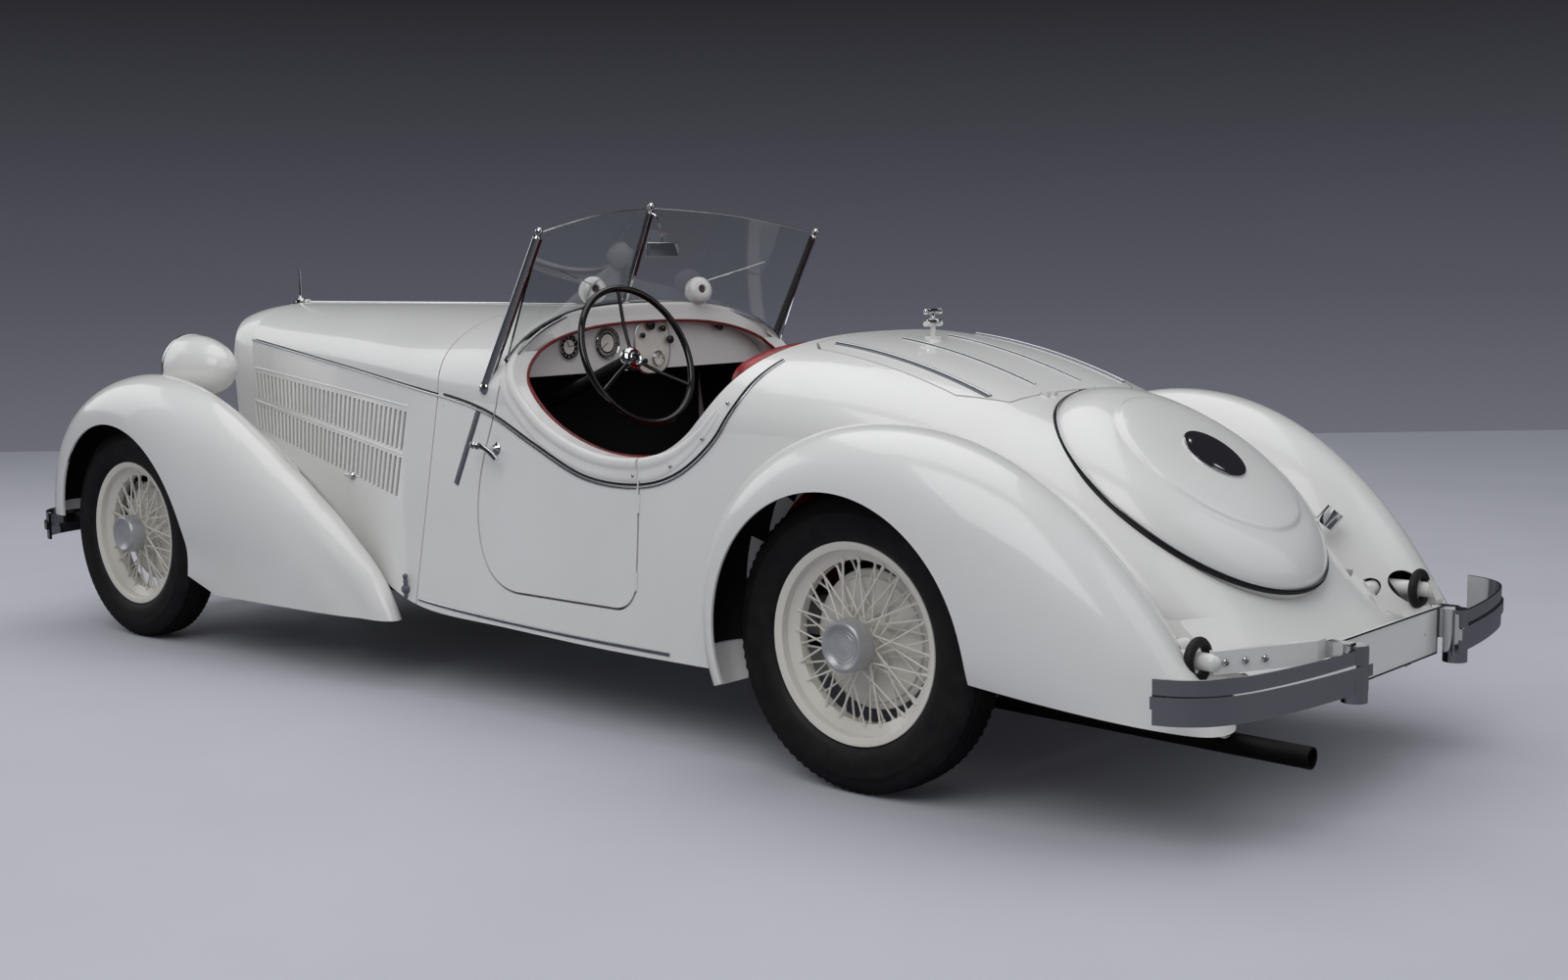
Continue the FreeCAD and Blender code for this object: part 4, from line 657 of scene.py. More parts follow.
def spoke_tree():
    """Tree that stands crossed wires between a hub flange and the rim."""
    tree, given = open_tree("wire spokes", (
        ("Count", "Int"), ("Hub radius", "Float"), ("Hub height", "Float"), ("Rim radius", "Float"),
        ("Rim height", "Float"), ("Lean", "Float"), ("Phase", "Float"), ("Wire radius", "Float")))

    def sum_of(a, b, operation="ADD"):
        return add_node(tree, "ShaderNodeMath", {0: a, 1: b}, operation=operation).outputs["Value"]

    def end_of(radius, angle, height):
        x = sum_of(radius, sum_of(angle, 0.0, "COSINE"), "MULTIPLY")
        y = sum_of(radius, sum_of(angle, 0.0, "SINE"), "MULTIPLY")
        return add_node(tree, "ShaderNodeCombineXYZ", {"X": x, "Y": y, "Z": height}).outputs["Vector"]

    points = add_node(tree, "GeometryNodePoints", {"Count": given["Count"]})
    index = add_node(tree, "GeometryNodeInputIndex").outputs["Index"]
    pitch = sum_of(2 * math.pi, given["Count"], "DIVIDE")
    base = sum_of(sum_of(index, given["Phase"]), pitch, "MULTIPLY")
    odd = sum_of(index, 2.0, "MODULO")
    sign = sum_of(sum_of(odd, 2.0, "MULTIPLY"), 1.0, "SUBTRACT")
    tip_angle = sum_of(base, sum_of(sign, given["Lean"], "MULTIPLY"))
    hub = end_of(given["Hub radius"], base, given["Hub height"])
    rim = end_of(given["Rim radius"], tip_angle, given["Rim height"])
    along = add_node(tree, "ShaderNodeVectorMath", {0: rim, 1: hub}, operation="SUBTRACT").outputs["Vector"]
    length = add_node(tree, "ShaderNodeVectorMath", {0: along}, operation="LENGTH").outputs["Value"]
    turn = add_node(tree, "FunctionNodeAlignRotationToVector", {"Vector": along},
                    axis="Z").outputs["Rotation"]
    middle = add_node(tree, "ShaderNodeVectorMath", {0: rim, 1: hub}, operation="ADD").outputs["Vector"]
    middle = add_node(tree, "ShaderNodeVectorMath", {0: middle, "Scale": 0.5},
                      operation="SCALE").outputs["Vector"]
    set_place = add_node(tree, "GeometryNodeSetPosition",
                         {"Geometry": points.outputs["Points"], "Position": middle})
    wire = add_node(tree, "GeometryNodeMeshCylinder",
                    {"Vertices": 8, "Radius": given["Wire radius"], "Depth": 1.0})
    stretch = add_node(tree, "ShaderNodeCombineXYZ", {"X": 1.0, "Y": 1.0, "Z": length}).outputs["Vector"]
    wires = add_node(tree, "GeometryNodeInstanceOnPoints", {
        "Points": set_place.outputs["Geometry"], "Instance": wire.outputs["Mesh"], "Rotation": turn,
        "Scale": stretch})
    nipple = add_node(tree, "GeometryNodeMeshCylinder", {"Vertices": 8, "Radius": 0.0044, "Depth": 0.016})
    tips = add_node(tree, "GeometryNodeSetPosition", {"Geometry": points.outputs["Points"], "Position": rim})
    nipples = add_node(tree, "GeometryNodeInstanceOnPoints", {
        "Points": tips.outputs["Geometry"], "Instance": nipple.outputs["Mesh"], "Rotation": turn})
    both = add_node(tree, "GeometryNodeJoinGeometry")
    tree.links.new(wires.outputs["Instances"], both.inputs["Geometry"])
    tree.links.new(nipples.outputs["Instances"], both.inputs["Geometry"])
    return close_tree(tree, both.outputs["Geometry"], given)


def baked_rows(name, tree, rows, carried=None):
    """Evaluate a node tree once for each set of inputs and keep the plain mesh."""
    shapes = []
    for values in rows:
        carrier = bpy.data.objects.new(name, carried or bpy.data.meshes.new(name))
        bpy.context.scene.collection.objects.link(carrier)
        modifier = carrier.modifiers.new(name, "NODES")
        modifier.node_group = tree
        for item in tree.interface.items_tree:
            if item.item_type == "SOCKET" and item.in_out == "INPUT" and item.name in values:
                modifier[item.identifier] = values[item.name]
        graph = bpy.context.evaluated_depsgraph_get()
        mesh = bpy.data.meshes.new_from_object(carrier.evaluated_get(graph))
        shapes.append(shape_of(mesh))
        bpy.data.objects.remove(carrier)
        bpy.data.meshes.remove(mesh)
    return joined(shapes)


class ROADSTER_OT_wire_wheels(bpy.types.Operator):
    """Wire wheels with well-base rims, drums, hubs and dished caps"""
    bl_idname = "roadster.wire_wheels"
    bl_label = "Wire wheels"

    def execute(self, context):
        sizes = context.scene.roadster_wheels
        tree = spoke_tree()
        rows = []
        for row, (hub_r, hub_z, rim_z, sign) in enumerate(SPOKE_ROWS):
            rows.append({"Count": sizes.spokes, "Hub radius": hub_r, "Hub height": hub_z,
                         "Rim radius": RIM_RADIUS - 0.043, "Rim height": rim_z,
                         "Lean": sizes.spoke_lean * sign,
                         "Phase": row / 3, "Wire radius": sizes.spoke_radius, "Finish": finish_of("wheel")})
        wires = baked_rows("wire_spokes", tree, rows)
        core = joined([rim_shape(), hub_shape()])
        for wheel, (_, _, body) in WHEELS.items():
            where = wheel_matrix(wheel)
            node = "wheel_" + wheel
            piece("rim_and_hub_" + wheel, moved(core, where), "wheel", body, [node])
            piece("spokes_" + wheel, moved(wires, where), "wheel", body)
            piece("hub_cap_" + wheel, moved(cap_shape(), where), "cap", body)
        return {"FINISHED"}


BLOCK_DEPTH = 0.0045


def tyre_shape(blocks):
    """Crossply tyre with ribbed tread and blocked shoulders."""
    bead, out = 0.2365, 0.350
    side = [
        (bead, 0.044), (bead + 0.006, 0.0555), (bead + 0.016, 0.0615), (bead + 0.030, 0.0672),
        (bead + 0.050, 0.0700), (bead + 0.066, 0.0690), (bead + 0.069, 0.0694), (bead + 0.072, 0.0680),
        (bead + 0.088, 0.0620), (bead + 0.094, 0.0600), (out - 0.0115, 0.0560), (out - 0.0050, 0.0500),
    ]
    half = []
    for low, high in ((0.0385, 0.0470), (0.0230, 0.0350), (0.0070, 0.0195)):
        rise = out - 0.9 * high * high
        half += [(rise - 0.0005, high), (rise + 0.0003, low), (rise - 0.0060, low - 0.0005),
                 (rise - 0.0060, low - 0.0030)]
    profile = side + half + [(out, 0.0035)]
    profile = profile + [(radius, -height) for radius, height in reversed(profile)]
    steps = blocks * 2
    verts, faces = turned(profile, steps, closed=True)
    shoulder = {len(side) - 2, len(side) - 1, len(side), len(side) + 1}
    count = len(profile)
    shoulder |= {count - 1 - index for index in shoulder}
    cut = []
    for index, vert in enumerate(verts):
        row, step = divmod(index, steps)
        if row in shoulder and step % 2:
            vert = vert - Vector((vert.x, vert.y, 0)).normalized() * BLOCK_DEPTH
        cut.append(vert)
    return cut, faces


class ROADSTER_OT_tyres(bpy.types.Operator):
    """Crossply tyres with ribbed treads"""
    bl_idname = "roadster.tyres"
    bl_label = "Tyres"

    def execute(self, context):
        shape = tyre_shape(context.scene.roadster_wheels.tread_blocks)
        for wheel, (_, _, body) in WHEELS.items():
            piece("crossply_tyre_" + wheel, moved(shape, wheel_matrix(wheel)), "tyre", body,
                  ["tyre_" + wheel])
        return {"FINISHED"}


# Runs laid on the body
WALL_DEPTH = 0.045
DOOR_GAP = 0.0045
GAP_REACH = (0.006, 0, 0)
# Side view lines of (x, z): x ahead of the rear axle and z above the ground, read from the photo
DOOR_REAR = 0.770
DOOR_FRONT = ((1.345, 1.098), (1.385, 0.794))
COCKPIT_EDGE = [
    (1.350, 1.068), (1.341, 1.008), (1.292, 0.896), (1.159, 0.797), (0.968, 0.734),
    (0.790, 0.724), (0.671, 0.752), (0.579, 0.8175), (0.506, 0.911), (0.462, 1.019),
]
WAIST_LINE = [
    (3.072, 0.9735), (2.60, 0.9315), (2.10, 0.887), (1.76, 0.8555), (1.60, 0.840), (1.48, 0.822),
    (1.36, 0.792), (1.192, 0.730), (0.983, 0.660), (0.785, 0.649), (0.641, 0.683), (0.527, 0.7635),
    (0.455, 0.860), (0.425, 0.930), (0.412, 0.975),
]
# (side, up) offsets of the padded roll's outline
COAMING_SECTION = [
    (-0.031, -0.006), (-0.0325, 0.001), (-0.030, 0.0065), (-0.024, 0.0095), (-0.014, 0.0095),
    (-0.007, 0.0070), (-0.003, 0.0040), (0.003, 0.0030), (0.014, 0.0042), (0.023, 0.0040), (0.028, 0.0015),
    (0.029, -0.004),
]


def at(x, y, z):
    """Place by its distances ahead of the rear axle, left of the middle and above the ground."""
    return Vector((x + REAR_AXLE, y, z))


def laid_on(tree, start, towards, beside):
    """Surface place and normal along a ray, bridging a panel gap from its two sides."""
    start, towards, beside = Vector(start), Vector(towards), Vector(beside)
    rays = [tree.ray_cast(start + beside * share, towards) for share in (-1, 0, 1)]
    depths = [(ray[0] - start).dot(towards) if ray[0] is not None else 1e9 for ray in rays]
    edge = (depths[0] + depths[2]) / 2
    if depths[1] > edge + 0.004:
        spot = start + towards * edge
        normal = rays[0][1]
    else:
        spot, normal = rays[1][0], rays[1][1]
    if spot is None or depths[1] > 100 and edge > 100:
        raise RuntimeError("nothing of the CAD part lies in that direction from %s" % (start,))
    return spot, -normal if normal.dot(towards) > 0 else normal


def on_side(tree, x, z, side, beside=GAP_REACH):
    """Surface place and normal where a body side is reached from beside the car."""
    return laid_on(tree, at(x, side * 2, z), (0, -side, 0), beside)


def eased(normals, reach=3):
    """Each direction averaged with its neighbours, so that coarse facets don't show."""
    smooth = []
    for index in range(len(normals)):
        near = normals[max(index - reach, 0):index + reach + 1]
        smooth.append(sum(near, Vector()).normalized())
    return smooth


def raised(spots, normals, lift, shift=0.0):
    """Places moved along the surface's normals, and then ahead by a shift."""
    return [spot + normal * lift + AHEAD * shift for spot, normal in zip(spots, normals)]


def beside_run(tree, line, side=1):
    """Places and normals where a side view line of (x, z) lies on a body side."""
    spots, normals = [], []
    for x, z in line:
        spot, normal = on_side(tree, x, z, side)
        spots.append(spot)
        normals.append(normal)
    return spots, eased(normals)


def finer(line, steps=8):
    """Side view line of (x, z) with more points on a smooth curve."""
    return [(spot.x, spot.z) for spot in smooth_run([(x, 0, z) for x, z in line], steps)]


def shifted_line(line, growth):
    """Side view line moved sideways, downwards being positive."""
    moved_line = []
    for index, (x, z) in enumerate(line):
        before = line[max(index - 1, 0)]
        after = line[min(index + 1, len(line) - 1)]
        run = Vector((after[0] - before[0], after[1] - before[1])).normalized()
        moved_line.append((x - run.y * growth, z + run.x * growth))
    return moved_line


def grown_edge(growth):
    """The cockpit's edge from the side, grown outwards."""
    return shifted_line(finer(COCKPIT_EDGE), growth)


def edge_x(branch, height):
    """Where one branch of the cockpit's edge reaches a height."""
    ordered = sorted(branch, key=lambda point: point[1])
    for (x0, z0), (x1, z1) in zip(ordered, ordered[1:]):
        if z0 <= height <= z1 and z1 > z0:
            return x0 + (x1 - x0) * (height - z0) / (z1 - z0)
    return ordered[0][0] if height < ordered[0][1] else ordered[-1][0]


def over_run(tree, branch, widths, start=1.0):
    """Places and normals where an end branch of the cockpit's edge crosses the car's top."""
    spots, normals = [], []
    for y in widths:
        height = start
        for _ in range(8):
            spot, normal = laid_on(tree, at(edge_x(branch, height), y, 3), DOWN, GAP_REACH)
            height = spot.z
        spots.append(spot)
        normals.append(normal)
    return spots, normals


def cockpit_run(tree, growth, turn_height=0.97, across=18):
    """Places and normals along the left half of the cockpit's edge, from the cowl's middle to the deck."""
    line = grown_edge(growth)
    low = min(range(len(line)), key=lambda index: line[index][1])
    front = line[:low + 1]
    lower = [point for point in line if point[1] < turn_height]
    side_spots, side_normals = beside_run(tree, lower)
    widths = [side_spots[0].y * index / across for index in range(across)]
    top_spots, top_normals = over_run(tree, front, widths)
    return top_spots + side_spots, eased(top_normals + side_normals, 4)


def inner_corner(tree, growth=0.001, turn_height=0.97, across=18):
    """Places along the left half of the cockpit wall's inner corner, from the cowl's middle to the deck."""
    line = grown_edge(growth)
    low = min(range(len(line)), key=lambda index: line[index][1])
    lower = [(x, z) for x, z in line if z < turn_height and x > 0.46]
    hits = [tree.ray_cast(at(x, 0, z), LEFT)[0] for x, z in lower]
    # A ray that goes into the gap round a door is left out and bridged from its neighbours
    known = [index for index, found in enumerate(hits) if found is not None
             and all(near is None or abs(near.y - found.y) < 0.022
                     for near in hits[max(index - 1, 0):index + 2])]
    side = []
    for index, (x, z) in enumerate(lower):
        before = max([number for number in known if number <= index] or known[:1])
        after = min([number for number in known if number >= index] or known[-1:])
        share = (index - before) / (after - before) if after > before else 0
        side.append(at(x, hits[before].y + (hits[after].y - hits[before].y) * share, z))
    over = []
    widths = [side[0].y * index / across for index in range(across + 2)]
    spots, normals = over_run(tree, line[:low + 1], widths, line[0][1])
    for spot, normal in zip(spots, eased(normals)):
        spot = spot - normal * WALL_DEPTH
        if spot.z > turn_height + 0.004 and spot.y < side[0].y:
            over.append(at(edge_x(line[:low + 1], spot.z), spot.y, spot.z))
    return over + side


def trimmed(shape, planes):
    """What lies behind every (place, direction) plane, with its cuts closed."""
    mesh = bmesh.new()
    verts = [mesh.verts.new(v) for v in shape[0]]
    for face in shape[1]:
        mesh.faces.new([verts[index] for index in face])
    for spot, direction in planes:
        everything = mesh.verts[:] + mesh.edges[:] + mesh.faces[:]
        bmesh.ops.bisect_plane(mesh, geom=everything, plane_co=spot, plane_no=direction, clear_outer=True)
        rims = [edge for edge in mesh.edges if edge.is_boundary]
        bmesh.ops.holes_fill(mesh, edges=rims, sides=0)
    return shape_taken(mesh)


def door_planes():
    """Planes that part what rides on a door from what stays ahead of it and behind it."""
    high, low = (at(x, 0, z) for x, z in DOOR_FRONT)
    fall = (low - high).normalized()
    ahead = Vector((-fall.z, 0, fall.x)).normalized()
    rear = at(DOOR_REAR, 0, 0)
    return {
        "door": [(high - ahead * DOOR_GAP, ahead), (rear - BACK * DOOR_GAP, BACK)],
        "ahead": [(high + ahead * DOOR_GAP, -ahead)],
        "behind": [(rear + BACK * DOOR_GAP, -BACK)],
    }


def parted(name, shape, key, more_ahead=()):
    """Split a left side trim at the door's edges, mirror it, and put each part on its body."""
    planes = door_planes()
    for side, other in SIDES:
        door = trimmed(shape, planes["door"])
        rest = joined([trimmed(shape, planes["ahead"] + list(more_ahead)), trimmed(shape, planes["behind"])])
        if side < 0:
            door, rest = mirrored(door), mirrored(rest)
        piece("%s_door_%s" % (name, other), door, key, "door_" + other[0],
              ["door_coaming_" + other] if name == "coaming_roll" else ())
        piece("%s_body_%s" % (name, other), rest, key, "chassis",
              ["cockpit_coaming"] if name == "coaming_roll" and side > 0 else ())


def tapered_sweep(points, section, ups, sizes):
    """Carry a section along a run whose width changes by a share at each point."""
    verts, faces = swept(points, section, ups)
    count = len(section)
    for ring, size in enumerate(sizes):
        for index in range(count):
            place_at = verts[ring * count + index]
            verts[ring * count + index] = Vector(points[ring]) + (place_at - Vector(points[ring])) * size
    return verts, faces


# Beads made by Geometry Nodes along given runs
def bead_tree():
    """Tree that turns every edge run of a carrier into a round bead."""
    tree, given = open_tree("round beads", (("Runs", "Geometry"), ("Radius", "Float"), ("Sides", "Int")))
    curve = add_node(tree, "GeometryNodeMeshToCurve", {"Mesh": given["Runs"]})
    ring = add_node(tree, "GeometryNodeCurvePrimitiveCircle",
                    {"Resolution": given["Sides"], "Radius": given["Radius"]})
    bead = add_node(tree, "GeometryNodeCurveToMesh", {
        "Curve": curve.outputs["Curve"], "Profile Curve": ring.outputs["Curve"], "Fill Caps": True})
    return close_tree(tree, bead.outputs["Mesh"], given)


def beaded(runs, radius, key, sides=8):
    """Round bead along each run of places."""
    tree = bpy.data.node_groups.get("round beads") or bead_tree()
    verts, edges = [], []
    for run in runs:
        start = len(verts)
        verts += [tuple(spot) for spot in run]
        edges += [(start + index, start + index + 1) for index in range(len(run) - 1)]
    mesh = bpy.data.meshes.new("runs")
    mesh.from_pydata(verts, edges, [])
    return baked_rows("runs", tree, [{"Radius": radius, "Sides": sides, "Finish": finish_of(key)}], mesh)


def dial(centre, radius, face_key, hand_turns, marks):
    """Round instrument that faces the driver, as parts by finish."""
    stand = standing(centre, (-1, 0, 0))
    bezel = moved(turned([
        (radius * 0.86, 0.001), (radius * 0.88, 0.006), (radius * 0.94, 0.009), (radius, 0.007),
        (radius * 1.04, 0.002), (radius * 1.04, -0.002), (radius * 0.86, -0.002),
    ], 40, closed=True), stand)
    plate = moved(turned([(0, 0.0022), (radius * 0.87, 0.0022), (radius * 0.87, -0.001), (0, -0.001)], 40),
                  stand)
    runs = []
    for index in range(marks):
        turn = 2 * math.pi * index / marks
        ray = Vector((math.cos(turn), math.sin(turn), 0))
        runs.append([stand @ (ray * radius * 0.66 + Vector((0, 0, 0.0025))),
                     stand @ (ray * radius * 0.80 + Vector((0, 0, 0.0025)))])
    hands = [[stand @ Vector((0, 0, 0.0042)),
              stand @ (Vector((math.cos(turn), math.sin(turn), 0)) * radius * reach + Vector((0, 0, 0.0042)))]
             for turn, reach in hand_turns]
    return {"chrome": bezel, face_key: plate, "marks": runs, "hands": hands}


# Cockpit's padded edge and the waist moulding
class ROADSTER_OT_coaming(bpy.types.Operator):
    """Padded roll round the cockpit, its red piping and its press studs"""
    bl_idname = "roadster.coaming"
    bl_label = "Cockpit roll and piping"

    def execute(self, context):
        tree = skin_of("body_tub", "door_left", "door_right")
        screen = [(at(1.453, 0, 1.105), screen_normal())]
        spots, normals = cockpit_run(tree, 0.031)
        kept = [index for index, spot in enumerate(spots) if spot.x > at(0.50, 0, 0).x]
        spots, normals = [spots[index] for index in kept], [normals[index] for index in kept]
        sizes = [min(1.0, 0.30 + (spot.x - at(0.50, 0, 0).x) / 0.30) for spot in spots]
        roll = tapered_sweep(spots, COAMING_SECTION, normals, sizes)
        parted("coaming_roll", roll, "hood_cloth", screen)
        parted("edge_piping", swept(inner_corner(tree), round_section(0.0052, 8)), "piping")
        spots, normals = cockpit_run(tree, 0.043)
        lowest = min(range(len(spots)), key=lambda index: spots[index].z)
        for number, reach in enumerate((2, 10, 18, 25)):
            index = min(lowest + reach, len(spots) - 1)
            profile = [(0, 0.0085), (0.003, 0.008), (0.0050, 0.006), (0.0056, 0.003), (0.0056, 0)]
            stud = lathed(profile, spots[index], normals[index], 12)
            on_door = stud[0][0].x > at(DOOR_REAR, 0, 0).x
            for name, shape in (("left", stud), ("right", mirrored(stud))):
                body = "door_" + name[0] if on_door else "chassis"
                piece("press_stud_%s_%d" % (name, number), shape, "chrome", body)
        return {"FINISHED"}


class ROADSTER_OT_waist_moulding(bpy.types.Operator):
    """Bright strip and its black seal along the bonnet split and round under the cockpit"""
    bl_idname = "roadster.waist_moulding"
    bl_label = "Waist moulding"

    def execute(self, context):
        tree = skin_of("body_tub", "door_left", "door_right", "bonnet_side_left")
        line = finer(WAIST_LINE, 8)
        spots, normals = beside_run(tree, line)
        strip = swept(spots, bead_section(0.0075, 0.0038), normals)
        parted("waist_strip", strip, "bright")
        above = [(x, z) for x, z in shifted_line(line, -0.0085)]
        later = [point for point in above if point[0] < 1.66]
        spots, normals = beside_run(tree, later)
        parted("waist_seal", swept(spots, bead_section(0.0065, 0.0030), normals), "seal")
        return {"FINISHED"}


# Windscreen
SCREEN_TOP = (1.348, 0.0, 1.382)
SCREEN_FOOT = (1.469, 0.0, 1.105)
SCREEN_SIDE = (1.199, 0.573, 1.305)
POST_FOOT = (1.435, 0.0, 0.880)
MIRROR = (1.325, -0.024, 1.259)
WIPERS = [
    # name, place of the housing, and the arm's end as (y, z) on the pane
    ("right", (1.352, -0.198, 1.134), (-0.43, 1.215)),
    ("left", (1.402, 0.195, 1.143), (0.40, 1.200)),
]


def screen_normal():
    """Direction that the left pane faces, forwards."""
    top, foot, side = at(*SCREEN_TOP), at(*SCREEN_FOOT), at(*SCREEN_SIDE)
    normal = (side - top).cross(foot - top).normalized()
    return normal if normal.x > 0 else -normal


def on_screen(y, z, lift=0.0):
    """Place in the left or right pane's plane at a width and a height."""
    top, normal = at(*SCREEN_TOP), screen_normal()
    x = top.x - (normal.y * (abs(y) - top.y) + normal.z * (z - top.z)) / normal.x
    return Vector((x, y, z)) + Vector((normal.x, math.copysign(normal.y, y), normal.z)) * lift


def bar_section(width, depth, corner):
    """Rounded bar section."""
    arcs = []
    for sx, sy, start in ((1, 1, 0), (-1, 1, 90), (-1, -1, 180), (1, -1, 270)):
        for step in (0, 30, 60, 90):
            turn = math.radians(start + step)
            arcs.append((sx * (width / 2 - corner) + corner * math.cos(turn),
                         sy * (depth / 2 - corner) + corner * math.sin(turn)))
    return arcs


def ball_knob(spot, axis, radius):
    """Round knob on a waisted collar."""
    return lathed([
        (radius * 0.80, -radius * 1.9), (radius * 0.95, -radius * 1.6), (radius * 0.80, -radius * 1.3),
        (radius * 0.50, -radius * 1.0), (radius * 0.55, -radius * 0.86), (radius * 0.86, -radius * 0.5),
        (radius, 0), (radius * 0.86, radius * 0.5), (radius * 0.5, radius * 0.86), (0, radius),
    ], spot, axis, 24)


class ROADSTER_OT_windscreen(bpy.types.Operator):
    """Posts, knobs, edge strips, rear-view mirror and wiper housings"""
    bl_idname = "roadster.windscreen"
    bl_label = "Windscreen"

    def execute(self, context):
        tree = skin_of("body_tub", "cockpit_coaming")
        top, foot, side_top = at(*SCREEN_TOP), at(*SCREEN_FOOT), at(*SCREEN_SIDE)
        facing = screen_normal()
        x, _, z = POST_FOOT
        side_foot, side_normal = laid_on(tree, at(x, 2, z), (0, -1, 0), GAP_REACH)
        up = (side_top - side_foot).normalized()
        posts, strips, channels = [], [], []
        outer = facing.cross(up).normalized()
        outer = outer if outer.y > 0 else -outer
        post_run = [side_foot - up * 0.012, side_foot.lerp(side_top, 0.5), side_top - up * 0.012]
        facings = [facing] * 3
        posts.append(swept(post_run, bar_section(0.015, 0.024, 0.006), facings))
        posts.append(ball_knob(side_top + up * 0.004, up, 0.0115))
        inward = -outer * 0.0085
        channels.append(swept([spot + inward + facing * 0.002 for spot in post_run],
                              bar_section(0.007, 0.017, 0.002), facings))
        lining_run = [side_foot.lerp(side_top, share) + inward * 0.7 - facing * 0.0105
                      for share in (0.10, 0.55, 0.965)]
        strips.append(swept(lining_run, bar_section(0.011, 0.005, 0.002), facings))
        pad = lathed([(0, 0.011), (0.010, 0.010), (0.017, 0.006), (0.020, 0.002), (0.0205, -0.004)],
                     side_foot, side_normal, 28)
        posts.append(pad)
        halves = {"chrome": posts, "piping": strips, "seal": channels}
        centre_up = (top - foot).normalized()
        ahead = LEFT.cross(centre_up).normalized()
        ahead = ahead if ahead.x > 0 else -ahead
        centre_foot, _ = laid_on(tree, (foot.x, 0, 3), DOWN, GAP_REACH)
        centre_run = [foot - centre_up * 0.03, foot.lerp(top, 0.5), top - centre_up * 0.012]
        whole = {
            "chrome": [swept(centre_run, bar_section(0.013, 0.022, 0.005), [ahead] * 3),
                       ball_knob(top + centre_up * 0.004, centre_up, 0.0115)],
            "piping": [swept([foot.lerp(top, share) - ahead * 0.0125 for share in (0.30, 0.6, 0.95)],
                             bar_section(0.010, 0.005, 0.002), [ahead] * 3)],
            "seal": [swept([spot + ahead * 0.003 for spot in centre_run], bar_section(0.020, 0.010, 0.003),
                           [ahead] * 3)],
        }
        whole["chrome"].append(lathed([(0, 0.012), (0.012, 0.011), (0.019, 0.007), (0.0215, 0.001),
                                       (0.0215, -0.006)], centre_foot, UP, 28))
        parts = {key: joined(halves[key] + [mirrored(shape) for shape in halves[key]] + whole[key])
                 for key in halves}
        piece("screen_posts", parts["chrome"], "chrome", "chassis", ["windscreen_frame"])
        piece("screen_post_linings", parts["piping"], "post_wood", "chassis")
        piece("screen_channels", parts["seal"], "seal", "chassis")
        self.edge_strips(tree, top, foot, side_top)
        self.mirror(top, foot)
        self.wipers(tree)
        return {"FINISHED"}

    def edge_strips(self, tree, top, foot, side_top):
        along = (side_top - top).normalized()
        crown = (top + side_top) / 2 + (top - foot).normalized() * 0.0145
        start, end = top + along * 0.008, side_top - along * 0.008
        upper = smooth_run([start, crown, end], 10)
        edge = swept(upper, bar_section(0.0072, 0.0026, 0.001), [(top - foot).normalized()] * len(upper))
        piece("screen_top_edges", both_sides(edge), "bright", "chassis")
        base, seal, normals = [], [], []
        for y in steps_between(0.012, 0.600, 31):
            z = 1.0
            for _ in range(10):
                spot = on_screen(y, z)
                found, normal = laid_on(tree, (spot.x, y, 3), DOWN, GAP_REACH)
                z = found.z
            if z < 0.925:
                break
            base.append(found)
            normals.append(normal)
        normals = eased(normals)
        seal = swept(raised(base, normals, 0.004), bar_section(0.020, 0.014, 0.005), normals)
        ridge = swept(raised(base, normals, 0.0105, -0.007),
                      bar_section(0.005, 0.005, 0.002), normals)
        lower = swept(raised(base, normals, 0.002, -0.020),
                      bar_section(0.008, 0.008, 0.003), normals)
        piece("screen_base_seal", both_sides(seal), "seal", "chassis")
        piece("screen_base_strips", both_sides(ridge, lower), "bright", "chassis")

    def mirror(self, top, foot):
        centre = at(*MIRROR)
        turn = Matrix.Translation(centre) @ Matrix.Rotation(math.radians(-6), 4, "Y")
        back = moved(rounded_block((-0.004, -0.066, -0.022), (0.008, 0.066, 0.022), 0.0038, 3), turn)
        face = moved(rounded_block((-0.0052, -0.062, -0.018), (0.0, 0.062, 0.018), 0.0012, 2), turn)
        hook = smooth_run([top.lerp(foot, 0.06) - Vector((0.011, 0, 0)),
                           top.lerp(foot, 0.10) + Vector((-0.030, -0.008, -0.004)),
                           centre + Vector((0.006, -0.002, 0.034)), centre + Vector((0.006, 0, 0.014))], 6)
        piece("mirror_back", back, "bright", "chassis")
        piece("mirror_face", face, "mirror", "chassis", flat=True)
        piece("mirror_stem", swept(hook, round_section(0.0026, 8)), "chrome", "chassis")

    def wipers(self, tree):
        for name, (x, y, z), reach in WIPERS:
            centre = at(x, y, z)
            stand = standing(centre, (-0.93, 0.30, 0.20))
            cup = moved(turned([
                (0, -0.034), (0.020, -0.033), (0.033, -0.026), (0.040, -0.012), (0.0415, 0.004),
                (0.040, 0.016), (0.033, 0.025), (0.022, 0.030), (0.014, 0.031), (0.0125, 0.029),
                (0.0120, 0.020), (0, 0.019),
            ], 40), stand)
            hole = moved(turned([(0, 0.0215), (0.0115, 0.0215), (0.0115, 0.018), (0, 0.018)], 20), stand)
            ground, _ = laid_on(tree, (centre.x + 0.012, y, 3), DOWN, GAP_REACH)
            stem = rod(ground - Vector((0, 0, 0.01)), (centre.x + 0.012, y, z), 0.010, 16)
            pivot = on_screen(y, z + 0.012, 0.004)
            end = on_screen(reach[0], reach[1], 0.007)
            arm = swept([centre + Vector((0.02, 0, 0.02)), pivot.lerp(end, 0.15), pivot.lerp(end, 0.6), end],
                        round_section(0.0019, 8))
            piece("wiper_housing_" + name, joined([cup, stem]), "body", "chassis")
            piece("wiper_shaft_" + name, hole, "post_wood", "chassis")
            piece("wiper_arm_" + name, arm, "chrome", "chassis")


# Dash and controls
DASH_X = 1.385
